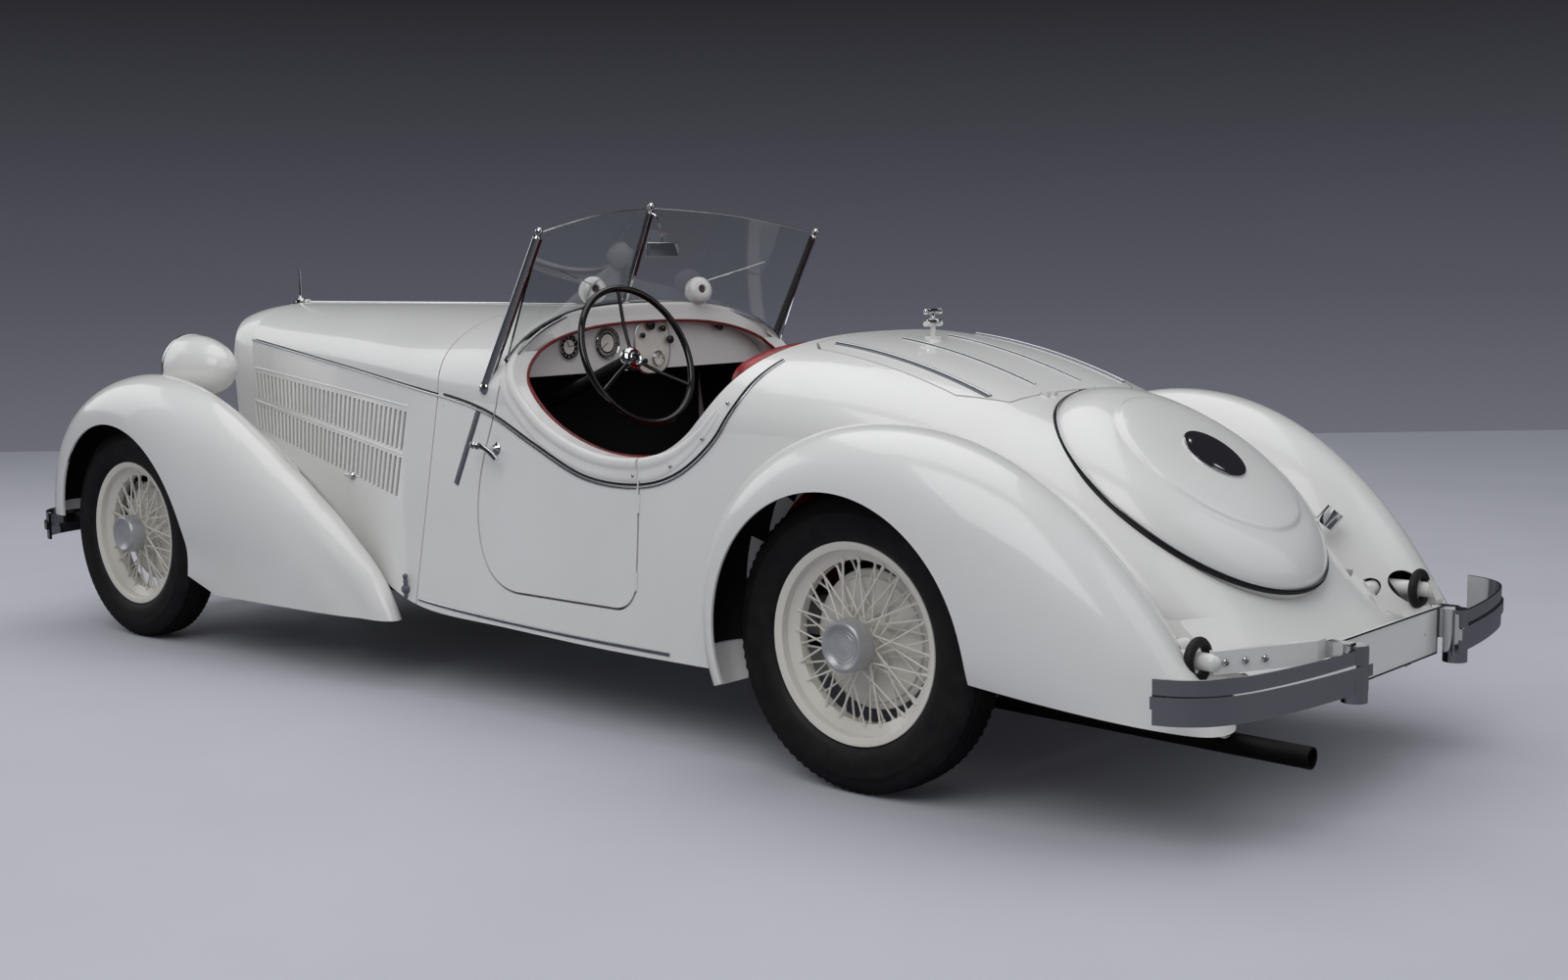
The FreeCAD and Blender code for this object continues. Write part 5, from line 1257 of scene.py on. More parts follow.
# Instruments by their place across the dash, their height and their radius
CLOCK = (0.308, 0.984, 0.037)
GAUGE = (0.157, 0.989, 0.047)


class ROADSTER_OT_instruments(bpy.types.Operator):
    """Clock, gauge, polished switch plate, knobs and lid latch on the dash"""
    bl_idname = "roadster.instruments"
    bl_label = "Instruments"

    def execute(self, context):
        front = at(DASH_X, 0, 0).x
        gauges = [
            dial((front, *CLOCK[:2]), CLOCK[2], "bakelite", [(2.0, 0.5), (0.2, 0.7)], 12),
            dial((front, *GAUGE[:2]), GAUGE[2], "bakelite", [(-2.6, 0.7)], 36),
            dial((front - 0.004, -0.047, 0.935), 0.024, "dial", [(1.2, 0.7)], 10),
        ]
        bezels = joined([gauge["chrome"] for gauge in gauges])
        centre = turned([(0, 0.0034), (0.55, 0.0034), (0.55, 0.001), (0, 0.001)], 32)
        pale = [gauges[2]["dial"]]
        for y, z, radius in (CLOCK, GAUGE):
            pale.append(moved(([Vector((v.x * radius, v.y * radius, v.z)) for v in centre[0]], centre[1]),
                              standing((front, y, z), (-1, 0, 0))))
        pale = joined(pale)
        dark_runs = gauges[2]["marks"] + gauges[2]["hands"] + gauges[0]["hands"] + gauges[1]["hands"]
        piece("gauge_bezels", bezels, "chrome", "chassis")
        piece("gauge_faces_pale", pale, "dial", "chassis")
        piece("gauge_face_dark", joined([gauges[0]["bakelite"], gauges[1]["bakelite"]]), "bakelite",
              "chassis")
        piece("gauge_marks_dark", beaded(dark_runs, 0.0011, "bakelite", 6), "bakelite", "chassis")
        piece("gauge_marks_pale", beaded(gauges[0]["marks"] + gauges[1]["marks"], 0.0011, "dial", 6), "dial",
              "chassis")
        outline = []
        for step in range(40):
            turn = 2 * math.pi * step / 40
            outline.append((0.076 * math.copysign(abs(math.cos(turn)) ** 0.7, math.cos(turn)),
                            0.085 * math.copysign(abs(math.sin(turn)) ** 0.7, math.sin(turn))))
        middle = Vector((front, -0.028, 0.972))
        piece("switch_plate_rim", self.raised_plate(middle, outline, 0.0035), "bright", "chassis")
        inner = [(across * 0.93, rise * 0.94) for across, rise in outline]
        piece("switch_plate", self.raised_plate(middle - Vector((0.0030, 0, 0)), inner, 0.002), "dial",
              "chassis")
        knobs = []
        for y, z, radius, tall in ((-0.013, 1.036, 0.016, 0.016), (-0.062, 1.024, 0.010, 0.018),
                                   (0.020, 1.006, 0.0085, 0.014), (-0.092, 0.990, 0.013, 0.018),
                                   (0.012, 0.930, 0.008, 0.014), (-0.307, 1.020, 0.012, 0.022)):
            profile = [
                (radius * 0.5, 0), (radius * 0.5, tall * 0.4), (radius * 0.95, tall * 0.5),
                (radius, tall * 0.7), (radius * 0.9, tall * 0.92), (radius * 0.5, tall), (0, tall),
            ]
            knobs.append(lathed(profile, (front - 0.003, y, z), (-1, 0, 0), 24))
        piece("dash_knobs", joined(knobs), "bakelite", "chassis")
        return {"FINISHED"}

    def raised_plate(self, middle, outline, thick):
        verts, faces = [], []
        count = len(outline)
        for depth, size in ((0.0, 1.0), (thick * 0.7, 1.0), (thick, 0.97)):
            for across, rise in outline:
                verts.append(middle + Vector((-depth, across * size, rise * size)))
        for ring in range(2):
            for index in range(count):
                after = (index + 1) % count
                faces.append((ring * count + index, ring * count + after, (ring + 1) * count + after,
                              (ring + 1) * count + index))
        faces.append(tuple(range(count)))
        faces.append(tuple(reversed(range(2 * count, 3 * count))))
        return verts, faces


HAND_WHEEL = (1.100, 0.310, 0.966)
HAND_WHEEL_RADIUS = 0.1985
HAND_WHEEL_TILT = math.radians(21.7)


class ROADSTER_OT_hand_wheel(bpy.types.Operator):
    """Thin three-spoke steering wheel with a plated boss"""
    bl_idname = "roadster.hand_wheel"
    bl_label = "Steering wheel"

    def execute(self, context):
        axis = Vector((-math.cos(HAND_WHEEL_TILT), 0, math.sin(HAND_WHEEL_TILT)))
        centre = at(*HAND_WHEEL)
        stand = Matrix.Translation(centre) @ Matrix((LEFT, axis.cross(LEFT), axis)).transposed().to_4x4()
        ring = [Vector((across, rise, 0)) for across, rise in round_section(HAND_WHEEL_RADIUS, 72)]
        rim = swept(ring, round_section(0.0098, 14), [UP] * len(ring), closed=True)
        spokes = []
        for degrees in (270, 30, 150):
            ray = Vector((math.cos(math.radians(degrees)), math.sin(math.radians(degrees)), 0))
            run = smooth_run([ray * 0.028 + Vector((0, 0, -0.020)), ray * 0.09 + Vector((0, 0, -0.018)),
                              ray * 0.15 + Vector((0, 0, -0.008)), ray * 0.197], 5)
            spokes.append(swept(run, bar_section(0.011, 0.007, 0.003), [UP] * len(run)))
        boss = turned([(0, -0.010), (0.012, -0.010), (0.014, -0.012), (0.019, -0.012), (0.022, -0.009),
                       (0.024, -0.010), (0.030, -0.014), (0.034, -0.020), (0.034, -0.034), (0.024, -0.036),
                       (0, -0.036)], 40)
        cap = turned([(0, -0.0075), (0.008, -0.008), (0.012, -0.0105), (0.012, -0.013), (0, -0.013)], 28)
        piece("hand_wheel_rim", moved(joined([rim] + spokes), stand), "bakelite", "hand_wheel",
              ["steering_wheel"])
        piece("hand_wheel_boss", moved(boss, stand), "chrome", "hand_wheel")
        piece("hand_wheel_cap", moved(cap, stand), "bakelite", "hand_wheel")
        return {"FINISHED"}


# Cabin: carpets, wall linings and pedals
# How far each lies off the panel behind it, and how thick it is
LINING = (0.001, 0.003)
CARPET = (0.001, 0.006)
FLOOR_TOP = 0.345
CARPET_TOP = 0.352
FOOTWELL = (1.455, 1.650)
PEDALS = (0.19, 0.30, 0.41)
GEAR_LEVER = [(1.300, 0.02, 0.345), (1.29, 0.02, 0.46), (1.22, 0.02, 0.60), (1.17, 0.02, 0.68)]


def wall_sheet(tree, columns, towards, lift, thick):
    """Closed sheet lying just off the surfaces that rays from columns of places hit."""
    towards = Vector(towards)
    outer, inner = [], []
    for column in columns:
        spots = [tree.ray_cast(Vector(spot), towards)[0] for spot in column]
        known = [spot for spot in spots if spot is not None]
        if not known:
            raise RuntimeError("a lining column finds no wall")
        last = known[0]
        row = []
        for start, spot in zip(column, spots):
            if spot is None:
                spot = Vector(start) + towards * (last - Vector(start)).dot(towards)
            last = spot
            row.append(spot)
        outer.append([spot - towards * lift for spot in row])
        inner.append([spot - towards * (lift + thick) for spot in row])
    return closed_sheet(outer, inner)


def closed_sheet(outer, inner):
    """Close two grids of places into one thin solid."""
    rows, across = len(outer), len(outer[0])
    verts = [spot for row in outer for spot in row] + [spot for row in inner for spot in row]
    faces = []
    half = rows * across
    for i in range(rows - 1):
        for j in range(across - 1):
            a, b = i * across + j, i * across + j + 1
            c, d = a + across + 1, a + across
            faces += [(a, b, c, d), (half + d, half + c, half + b, half + a)]
    rim = list(range(across)) + [i * across + across - 1 for i in range(1, rows)]
    rim += [(rows - 1) * across + j
            for j in range(across - 2, -1, -1)] + [i * across for i in range(rows - 2, 0, -1)]
    for index, a in enumerate(rim):
        b = rim[(index + 1) % len(rim)]
        faces.append((b, a, half + a, half + b))
    return verts, faces


def steps_between(low, high, count):
    return [low + (high - low) * index / (count - 1) for index in range(count)]


class ROADSTER_OT_cabin(bpy.types.Operator):
    """Black trim inside the cockpit: wall linings, carpets, pedals and gear lever"""
    bl_idname = "roadster.cabin"
    bl_label = "Cabin trim"

    def execute(self, context):
        edge = grown_edge(0.004)

        def rim_height(x):
            return min(z for near_x, z in edge if abs(near_x - x) < 0.06)

        tub = skin_of("body_tub")
        for side, name in SIDES:
            door = skin_of("door_" + name)
            columns = [[at(x, 0, z) for z in steps_between(CARPET_TOP, rim_height(x) - 0.004, 8)]
                       for x in steps_between(DOOR_REAR + 0.008, 1.330, 14)]
            piece("door_lining_" + name, wall_sheet(door, columns, (0, side, 0), *LINING), "hide_black",
                  "door_" + name[0])
            columns = [[at(x, 0, z) for z in steps_between(FLOOR_TOP, 1.00, 8)]
                       for x in steps_between(*FOOTWELL, 6)]
            piece("kick_lining_" + name, wall_sheet(tub, columns, (0, side, 0), *LINING), "carpet", "chassis")
            columns = [[at(x, 0, z) for z in steps_between(FLOOR_TOP, rim_height(x) - 0.006, 8)]
                       for x in steps_between(0.500, DOOR_REAR - 0.008, 6)]
            piece("quarter_lining_" + name, wall_sheet(tub, columns, (0, side, 0), *LINING), "hide_black",
                  "chassis")
        columns = [[at(x, y, 0.90) for y in steps_between(-0.56, 0.56, 15)]
                   for x in steps_between(0.66, 1.645, 12)]
        floor = wall_sheet(tub, columns, DOWN, *CARPET)
        columns = [[at(1.42, y, z) for z in steps_between(CARPET_TOP, 0.90, 8)]
                   for y in steps_between(-0.50, 0.50, 9)]
        toe = wall_sheet(tub, columns, AHEAD, *CARPET)
        piece("cabin_carpet", joined([floor, toe]), "carpet", "chassis")
        ceiling = [[at(x, y, 0.93) for y in steps_between(-0.44, 0.44, 11)]
                   for x in steps_between(1.405, 1.645, 5)]
        piece("cowl_lining", wall_sheet(tub, ceiling, UP, *LINING), "hide_black", "chassis")
        pedals = []
        for y in PEDALS:
            pad = at(1.530, y, 0.440)
            pedals.append(moved(rounded_block((-0.006, -0.028, -0.036), (0.006, 0.028, 0.036), 0.005, 3),
                                Matrix.Translation(pad) @ Matrix.Rotation(math.radians(-35), 4, "Y")))
            pedals.append(swept(smooth_run([pad, at(1.575, y, 0.46), at(1.640, y, 0.56), at(1.652, y, 0.62)],
                                           5), round_section(0.007, 8)))
        piece("pedals", joined(pedals), "black", "chassis")
        lever = swept(smooth_run([at(*spot) for spot in GEAR_LEVER], 6), round_section(0.0065, 10))
        boot = lathed([(0.055, 0), (0.052, 0.012), (0.030, 0.030), (0.016, 0.050), (0.009, 0.060),
                       (0, 0.060)], at(1.300, 0.02, 0.344), UP, 24)
        piece("gear_lever", lever, "chrome", "chassis")
        piece("gear_lever_boot", boot, "seal", "chassis")
        knob = lathed([(0, 0.021), (0.012, 0.017), (0.0185, 0.006), (0.0185, -0.004), (0.013, -0.014),
                       (0.007, -0.020), (0, -0.020)], at(1.166, 0.02, 0.690), (-0.5, 0, 0.86), 24)
        piece("gear_knob", knob, "bakelite", "chassis")
        return {"FINISHED"}


# Seats
def fine_block(low, high, radius, spacing):
    """Rounded block whose flats are divided too, so that it can be bent."""
    low, high = Vector(low), Vector(high)
    counts = [max(2, round((high[i] - low[i]) / spacing)) for i in range(3)]
    mesh = bmesh.new()
    grid = {}

    def corner(i, j, k):
        if (i, j, k) not in grid:
            spot = Vector([low[n] + (high[n] - low[n]) * value / counts[n]
                           for n, value in enumerate((i, j, k))])
            core = Vector([min(max(spot[n], low[n] + radius), high[n] - radius) for n in range(3)])
            away = spot - core
            if away.length > 1e-9:
                on_flat = sum(abs(a) > 1e-9 for a in away) == 1
                spot = core + away.normalized() * (min(radius, away.length) if on_flat else radius)
            grid[(i, j, k)] = mesh.verts.new(spot)
        return grid[(i, j, k)]

    for axis in range(3):
        u, v = (axis + 1) % 3, (axis + 2) % 3
        for layer in (0, counts[axis]):
            for i in range(counts[u]):
                for j in range(counts[v]):
                    ring = []
                    for di, dj in ((0, 0), (1, 0), (1, 1), (0, 1)):
                        index = [0, 0, 0]
                        index[axis], index[u], index[v] = layer, i + di, j + dj
                        ring.append(corner(*index))
                    mesh.faces.new(ring)
    bmesh.ops.recalc_face_normals(mesh, faces=mesh.faces[:])
    return shape_taken(mesh)


VOXEL = 0.010
STUFFING_PRESSURE = 4.0
STUFFING_FRAMES = 20


def plumped(name, shape, cap, low, high):
    """Pad blown up by a cloth simulation, moving no further than the cap and staying in its room."""
    scene = bpy.context.scene
    mesh = bpy.data.meshes.new(name)
    mesh.from_pydata([tuple(v) for v in shape[0]], [], shape[1])
    pad = bpy.data.objects.new(name, mesh)
    scene.collection.objects.link(pad)
    remesh = pad.modifiers.new("even faces", "REMESH")
    remesh.mode = "VOXEL"
    remesh.voxel_size = VOXEL
    even = bpy.data.meshes.new_from_object(pad.evaluated_get(bpy.context.evaluated_depsgraph_get()))
    pad.modifiers.clear()
    pad.data = even
    before = [(v.co.copy(), v.normal.copy()) for v in even.vertices]
    cloth = pad.modifiers.new("stuffing", "CLOTH")
    cloth.settings.use_pressure = True
    cloth.settings.uniform_pressure_force = STUFFING_PRESSURE
    cloth.settings.effector_weights.gravity = 0.0
    cloth.point_cache.frame_start = 1
    cloth.point_cache.frame_end = STUFFING_FRAMES
    for number in range(1, STUFFING_FRAMES + 1):
        scene.frame_set(number)
    blown = pad.evaluated_get(bpy.context.evaluated_depsgraph_get())
    after = [v.co.copy() for v in blown.data.vertices]
    pad.modifiers.clear()
    scene.frame_set(1)
    for vertex, (start, outward), end in zip(pad.data.vertices, before, after):
        # Only the swelling is kept: the pull at the corners would make the pad smaller than its room
        spot = start + outward * min(max((end - start).dot(outward), 0.0), cap)
        vertex.co = [min(max(spot[n], low[n]), high[n]) for n in range(3)]
    return pad


PAD_OVERHANG = 0.009
PAD_FACET = 0.035
CUSHION_LOW = (0.650, -0.485, 0.360)
CUSHION_HIGH = (0.975, 0.485, 0.515)
CUSHION_SWELL = 0.026
BACK_SWELL = 0.024
BACK_HALF_WIDTH = 0.487


class ROADSTER_OT_seats(bpy.types.Operator):
    """Bench cushion and backrest in red hide, plumped by simulation, with piped seams"""
    bl_idname = "roadster.seats"
    bl_label = "Bench seat"

    def execute(self, context):
        cushion = fine_block(at(*CUSHION_LOW), at(*CUSHION_HIGH), 0.040, PAD_FACET)
        low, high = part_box("seat_cushion")
        pad = plumped("seat_cushion_pad", cushion, CUSHION_SWELL, low, high)
        self.upholster(pad, "seat_cushion")
        low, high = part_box("seat_back")
        verts, faces = fine_block((0, -BACK_HALF_WIDTH, 0.355), (0.095, BACK_HALF_WIDTH, high[2] + 0.008),
                                  0.042, PAD_FACET)
        bent = []
        for v in verts:
            rise = max(0.0, (v.z - 0.55) / 0.43)
            fall = 0.060 * rise * (abs(v.y) / BACK_HALF_WIDTH) ** 4
            bent.append(at(0.522 + v.x * (1 - 0.12 * rise), v.y, v.z - fall))
        low, high = [value - PAD_OVERHANG for value in low], [value + PAD_OVERHANG for value in high]
        back = plumped("seat_back_pad", (bent, faces), BACK_SWELL, low, high)
        self.upholster(back, "seat_back")
        self.seams(pad, back)
        return {"FINISHED"}

    def upholster(self, pad, node):
        pad.data.materials.clear()
        pad.data.materials.append(finish_of("leather"))
        pad.data.shade_smooth()
        round_off = pad.modifiers.new("soft", "SUBSURF")
        round_off.levels = 1
        round_off.render_levels = 1
        place(pad, "chassis", [node])

    def seams(self, pad, back):
        runs = []
        cushion = BVHTree.FromPolygons(*shape_of(pad.data))
        upright = BVHTree.FromPolygons(*shape_of(back.data))
        for y in steps_between(-0.40, 0.40, 9):
            runs.append([hit(cushion, at(x, y, 1), DOWN)[0] for x in steps_between(0.69, 0.94, 12)])
            runs.append([hit(upright, at(0.9, y, z), BACK)[0] for z in steps_between(0.56, 0.90, 14)])
        piece("seat_channels", beaded(runs, 0.0022, "piping", 6), "piping", "chassis")
        edges = [
            [hit(cushion, at(x, y, 1), DOWN)[0] for x, y in
             [(0.945, y) for y in steps_between(-0.44, 0.44, 24)]],
            [hit(upright, at(0.9, y, 0.925 - 0.085 * (abs(y) / BACK_HALF_WIDTH) ** 3), BACK)[0]
             for y in steps_between(-0.45, 0.45, 30)],
        ]
        piece("seat_piping", beaded(edges, 0.0048, "piping", 10), "piping", "chassis")


# Bonnet
FIELD_FRONT = 3.055
FIELD_LENGTH = 1.20
LOUVRES = 36
LOUVRE_FRONT = 3.040
LOUVRE_REACH = 1.170
SHADE_SHEET_DEPTHS = (0.010, 0.012)
SLOT_REACH = (0.011, 0, 0)
BONNET_CATCH = (2.19, 0.577)


class ROADSTER_OT_bonnet_trim(bpy.types.Operator):
    """Pressed lips of the louvres, field mouldings, the sheet of painted shade behind the slots and side
    catches
    """
    bl_idname = "roadster.bonnet_trim"
    bl_label = "Bonnet trim"

    def execute(self, context):
        for side, name in SIDES:
            tree = skin_of("bonnet_side_" + name)
            lips = []
            for share in steps_between(0, 1, LOUVRES):
                x = LOUVRE_FRONT - LOUVRE_REACH * share
                top, foot = 0.862 - 0.070 * share, 0.672 - 0.127 * share
                lean = 0.022 * (1 - share)
                middle = (top + foot) / 2
                for high, low in ((top, middle + 0.011), (middle - 0.011, foot)):
                    run = []
                    for step in range(5):
                        along = step / 4
                        z = high + (low - high) * along
                        run.append(self.lifted(tree, x + 0.0085 - lean * along, z, side, 0.0010))
                    lips.append(run)
            piece("louvre_lips_" + name, beaded(lips, 0.0030, "body", 6), "body", "chassis")
            lines = []
            for front_z, rear_z in ((0.880, 0.809), (0.767, 0.6685)):
                lines.append([self.lifted(tree, x,
                                          front_z + (rear_z - front_z) * (FIELD_FRONT - x) / FIELD_LENGTH,
                                          side, 0.0)
                              for x in steps_between(FIELD_FRONT, FIELD_FRONT - FIELD_LENGTH, 30)])
            piece("louvre_mouldings_" + name, beaded(lines, 0.0026, "body", 6), "body", "chassis")
            # Black sheet just inside the bonnet side: painted shade of the bonnet's inside, seen through the
            # slots
            outer, inner = [], []
            for x in steps_between(3.050, 1.850, 48):
                fall = (FIELD_FRONT - x) / FIELD_LENGTH
                heights = steps_between(0.660 - 0.130 * fall, 0.872 - 0.072 * fall, 9)
                depths = [self.skin_depth(tree, x, z, side) for z in heights]
                for sheet, sunk in zip((outer, inner), SHADE_SHEET_DEPTHS):
                    sheet.append([at(x, depth - side * sunk, z) for depth, z in zip(depths, heights)])
            piece("louvre_shade_sheet_" + name, closed_sheet(outer, inner), "undercoat", "chassis")
            spot, normal = on_side(tree, *BONNET_CATCH, side)
            along = Vector((1, 0, 0.04)).normalized()
            catch = swept([spot - along * 0.042, spot - along * 0.03, spot + along * 0.03,
                           spot + along * 0.042], bar_section(0.012, 0.012, 0.004), [normal] * 4)
            boss = lathed([(0, 0.014), (0.008, 0.013), (0.012, 0.008), (0.013, 0), (0.013, -0.003)], spot,
                          normal, 24)
            piece("bonnet_catch_" + name, joined([catch, boss]), "chrome", "chassis")
        return {"FINISHED"}

    def skin_depth(self, tree, x, z, side):
        """Distance of the bonnet side from the middle, read beside a slot where one is in the way."""
        for reach in (0, 0.006, -0.006, 0.012, -0.012, 0.018, -0.018, 0.024, -0.024):
            found = tree.ray_cast(at(x + reach, side * 2, z), Vector((0, -side, 0)))[0]
            if found is not None:
                return found.y
        raise RuntimeError("no bonnet side at %.3f, %.3f" % (x, z))

    def lifted(self, tree, x, z, side, lift):
        spot, normal = on_side(tree, x, z, side, SLOT_REACH)
        return spot + normal * lift


FINIAL_FOOT = (3.132, 0, 1.090)
HEADLAMP = (3.148, 0.440, 0.888)
HEADLAMP_DEPTH = 0.215


class ROADSTER_OT_nose(bpy.types.Operator):
    """Finial and headlamps"""
    bl_idname = "roadster.nose"
    bl_label = "Nose and headlamps"

    def execute(self, context):
        foot = at(*FINIAL_FOOT)
        disc = turned([(0.0405, 0.002), (0.0412, 0.005), (0.0395, 0.0078), (0.010, 0.0082), (0, 0.0082)], 40)
        bell = turned([(0.021, 0.0080), (0.0205, 0.0115), (0.0150, 0.0145), (0.0090, 0.0185), (0.0062, 0.026),
                       (0.0048, 0.034), (0.0046, 0.1255), (0.0036, 0.1259), (0, 0.1259)], 28)
        piece("finial_disc", moved(disc, standing(foot, UP)), "bakelite", "chassis")
        piece("finial_rod", moved(bell, standing(foot, UP)), "chrome", "chassis")
        for side, name in SIDES:
            self.headlamp(side, name)
        return {"FINISHED"}

    def headlamp(self, side, name):
        x, y, z = HEADLAMP
        stand = standing(at(x, side * y, z), (1, 0, 0))
        shares = smooth_run([(0, 0, 1), (0.37, 0, 0.93), (0.69, 0, 0.72), (0.93, 0, 0.36), (1, 0, 0)], 6)
        bowl = [(0.111 * point.x, -HEADLAMP_DEPTH * point.z) for point in shares]
        bowl[0] = (0, -HEADLAMP_DEPTH)
        stalk_top = at(x - HEADLAMP_DEPTH / 3, side * y, 0.82)
        shell = moved(turned(bowl + [(0.1045, 0.0), (0.0, -0.004)], 64), stand)
        stalk = rod(stalk_top - Vector((0, 0, 0.15)), stalk_top, 0.016, 20)
        piece("headlamp_bowl_" + name, joined([shell, stalk]), "body", "chassis", ["headlamp_" + name])
        ring = moved(turned([(0.1045, -0.002), (0.1125, -0.002), (0.1135, 0.002), (0.1130, 0.008),
                             (0.1095, 0.012), (0.1045, 0.0135), (0.1010, 0.011), (0.1010, 0.004)], 64,
                            closed=True), stand)
        piece("headlamp_rim_" + name, ring, "chrome", "chassis")
        lens = moved(turned([(0, 0.0395), (0.030, 0.0382), (0.060, 0.0325), (0.085, 0.0225), (0.1015, 0.0110),
                             (0.1015, 0.0080), (0.083, 0.0185), (0.058, 0.0280), (0.030, 0.0335),
                             (0, 0.0350)], 64), stand)
        piece("headlamp_lens_" + name, lens, "lens", "chassis")
        mirror = moved(turned([(0.1005, 0.0070), (0.088, 0.0045), (0.060, 0.0020), (0.030, 0.0004), (0, 0.0)],
                              64), stand)
        bulb = moved(turned([(0, 0.022), (0.008, 0.019), (0.011, 0.011), (0.008, 0.003), (0.008, 0.0005)],
                            20), stand)
        piece("headlamp_mirror_" + name, joined([mirror, bulb]), "mirror", "chassis")


# Doors and sides
DOOR_HANDLE = (1.362, 0.716)
JACK_POINT = (1.735, 0.300)
DIRECTION_ARM = [(1.458, 0.822), (1.478, 0.768), (1.500, 0.712), (1.520, 0.656), (1.538, 0.607)]
SILL_LINE = [(1.670, 0.268), (1.350, 0.252), (1.000, 0.2415), (0.640, 0.236)]


class ROADSTER_OT_side_fittings(bpy.types.Operator):
    """Door handles, direction arms, jacking brackets and sill strips"""
    bl_idname = "roadster.side_fittings"
    bl_label = "Side fittings"

    def execute(self, context):
        for side, name in SIDES:
            door = skin_of("door_" + name)
            tub = skin_of("body_tub", "bonnet_side_" + name)
            spot, normal = on_side(door, *DOOR_HANDLE, side)
            stand = standing(spot, normal)
            base = moved(turned([(0, 0.010), (0.010, 0.010), (0.014, 0.006), (0.019, 0.003), (0.020, 0),
                                 (0.020, -0.003)], 32), stand)
            neck = rod(spot, spot + normal * 0.040, 0.0062, 16)
            grip_centre = spot + normal * 0.042
            grip_run = smooth_run([grip_centre + Vector((0.044, 0, 0.006)),
                                   grip_centre + Vector((0.020, 0, 0.004)), grip_centre,
                                   grip_centre + Vector((-0.026, 0, -0.012)),
                                   grip_centre + Vector((-0.052, 0, -0.030))], 4)
            grip = swept(grip_run, round_section(0.0078, 12))
            ball = ball_knob(grip_run[0], (1, 0, 0.1), 0.0115)
            handle = joined([base, neck, grip, ball])
            piece("door_handle_" + name, handle, "chrome", "door_" + name[0])
            ends, normals = zip(*[on_side(tub, x, z, side) for x, z in DIRECTION_ARM])
            blade = swept(ends, bar_section(0.017, 0.006, 0.002), normals)
            frame_bar = swept(ends, bar_section(0.025, 0.003, 0.001), normals)
            piece("direction_arm_" + name, blade, "arm_grey", "chassis")
            piece("direction_arm_frame_" + name, frame_bar, "bright", "chassis")
            spot, normal = on_side(tub, *JACK_POINT, side)
            bracket = [
                rod(spot + normal * 0.010 + Vector((0, 0, -0.038)),
                    spot + normal * 0.010 + Vector((0, 0, 0.018)), 0.0062, 16),
                ball_knob(spot + normal * 0.010 + Vector((0, 0, 0.026)), UP, 0.0085),
                lathed([(0, 0.019), (0.010, 0.019), (0.0115, 0.016), (0.0115, 0.003), (0.014, 0),
                        (0.014, -0.004)], spot + Vector((0, 0, -0.012)), normal, 24),
            ]
            piece("jack_bracket_" + name, joined(bracket), "arm_grey", "chassis")
            spots, normals = beside_run(skin_of("body_tub", "door_" + name), finer(SILL_LINE), side)
            sill = swept(spots, bead_section(0.010, 0.0035), normals)
            piece("sill_strip_" + name, sill, "bright", "chassis")
        return {"FINISHED"}


# Deck lid, spare wheel cover and tail
def deck_run(tree, y, front, rear, count=20):
    """Places and normals on the deck along the car."""
    spots, normals = [], []
    for x in steps_between(front, rear, count):
        if tree.ray_cast(at(x - 0.012, y, 3), DOWN)[0] is None:
            break
        spot, normal = laid_on(tree, at(x, y, 3), DOWN, (0, 0.004, 0))
        spots.append(spot)
        normals.append(normal)
    return spots, eased(normals)


LID_HANDLE = 0.308


class ROADSTER_OT_deck_trim(bpy.types.Operator):
    """Rubbing strips and the handle on the luggage lid"""
    bl_idname = "roadster.deck_trim"
    bl_label = "Luggage lid trim"

    def execute(self, context):
        tree = skin_of("deck_lid")
        wide, thin, bases = [], [], []
        for y in (-0.300, 0.300):
            spots, normals = deck_run(tree, y, 0.385, -0.235, 34)
            bases.append(swept(spots, bead_section(0.024, 0.0035), normals))
            wide.append(swept(raised(spots, normals, 0.0028), bead_section(0.0125, 0.0045), normals))
        for y in (-0.100, 0.100):
            spots, normals = deck_run(tree, y, 0.330, -0.080, 22)
            thin.append(swept(spots, bead_section(0.009, 0.0045), normals))
        piece("deck_strip_bases", joined(bases), "arm_grey", "luggage_lid")
        piece("deck_strips", joined(wide + thin), "bright", "luggage_lid")
        foot = laid_on(tree, at(LID_HANDLE, 0, 3), DOWN, (0, 0.03, 0))[0]
        base = turned([(0, 0.0085), (0.010, 0.0080), (0.015, 0.0070), (0.0190, 0.0045), (0.0200, 0.0),
                       (0.0200, -0.003)], 32)
        stem = turned([(0.0085, 0.007), (0.0066, 0.011), (0.0060, 0.020), (0.0060, 0.029), (0, 0.029)], 20)
        bar = [foot + Vector((0, y, rise))
               for y, rise in ((-0.030, 0.0250), (-0.011, 0.0262), (0.011, 0.0262), (0.030, 0.0250))]
        grip = swept(bar, round_section(0.0062, 14))
        ends = [ball_knob(foot + Vector((0, y, 0.025)), (0, math.copysign(1, y), 0), 0.0078)
                for y in (-0.031, 0.031)]
        post = moved(joined([base, stem]), standing(foot, UP))
        piece("lid_handle", joined([post, grip] + ends), "chrome", "luggage_lid")
        return {"FINISHED"}


COVER_TILT = math.radians(54.1)
COVER_CENTRE = (-0.458, 0, 0.671)


def cover_stand():
    return standing(at(*COVER_CENTRE), (-math.cos(COVER_TILT), 0, math.sin(COVER_TILT)))


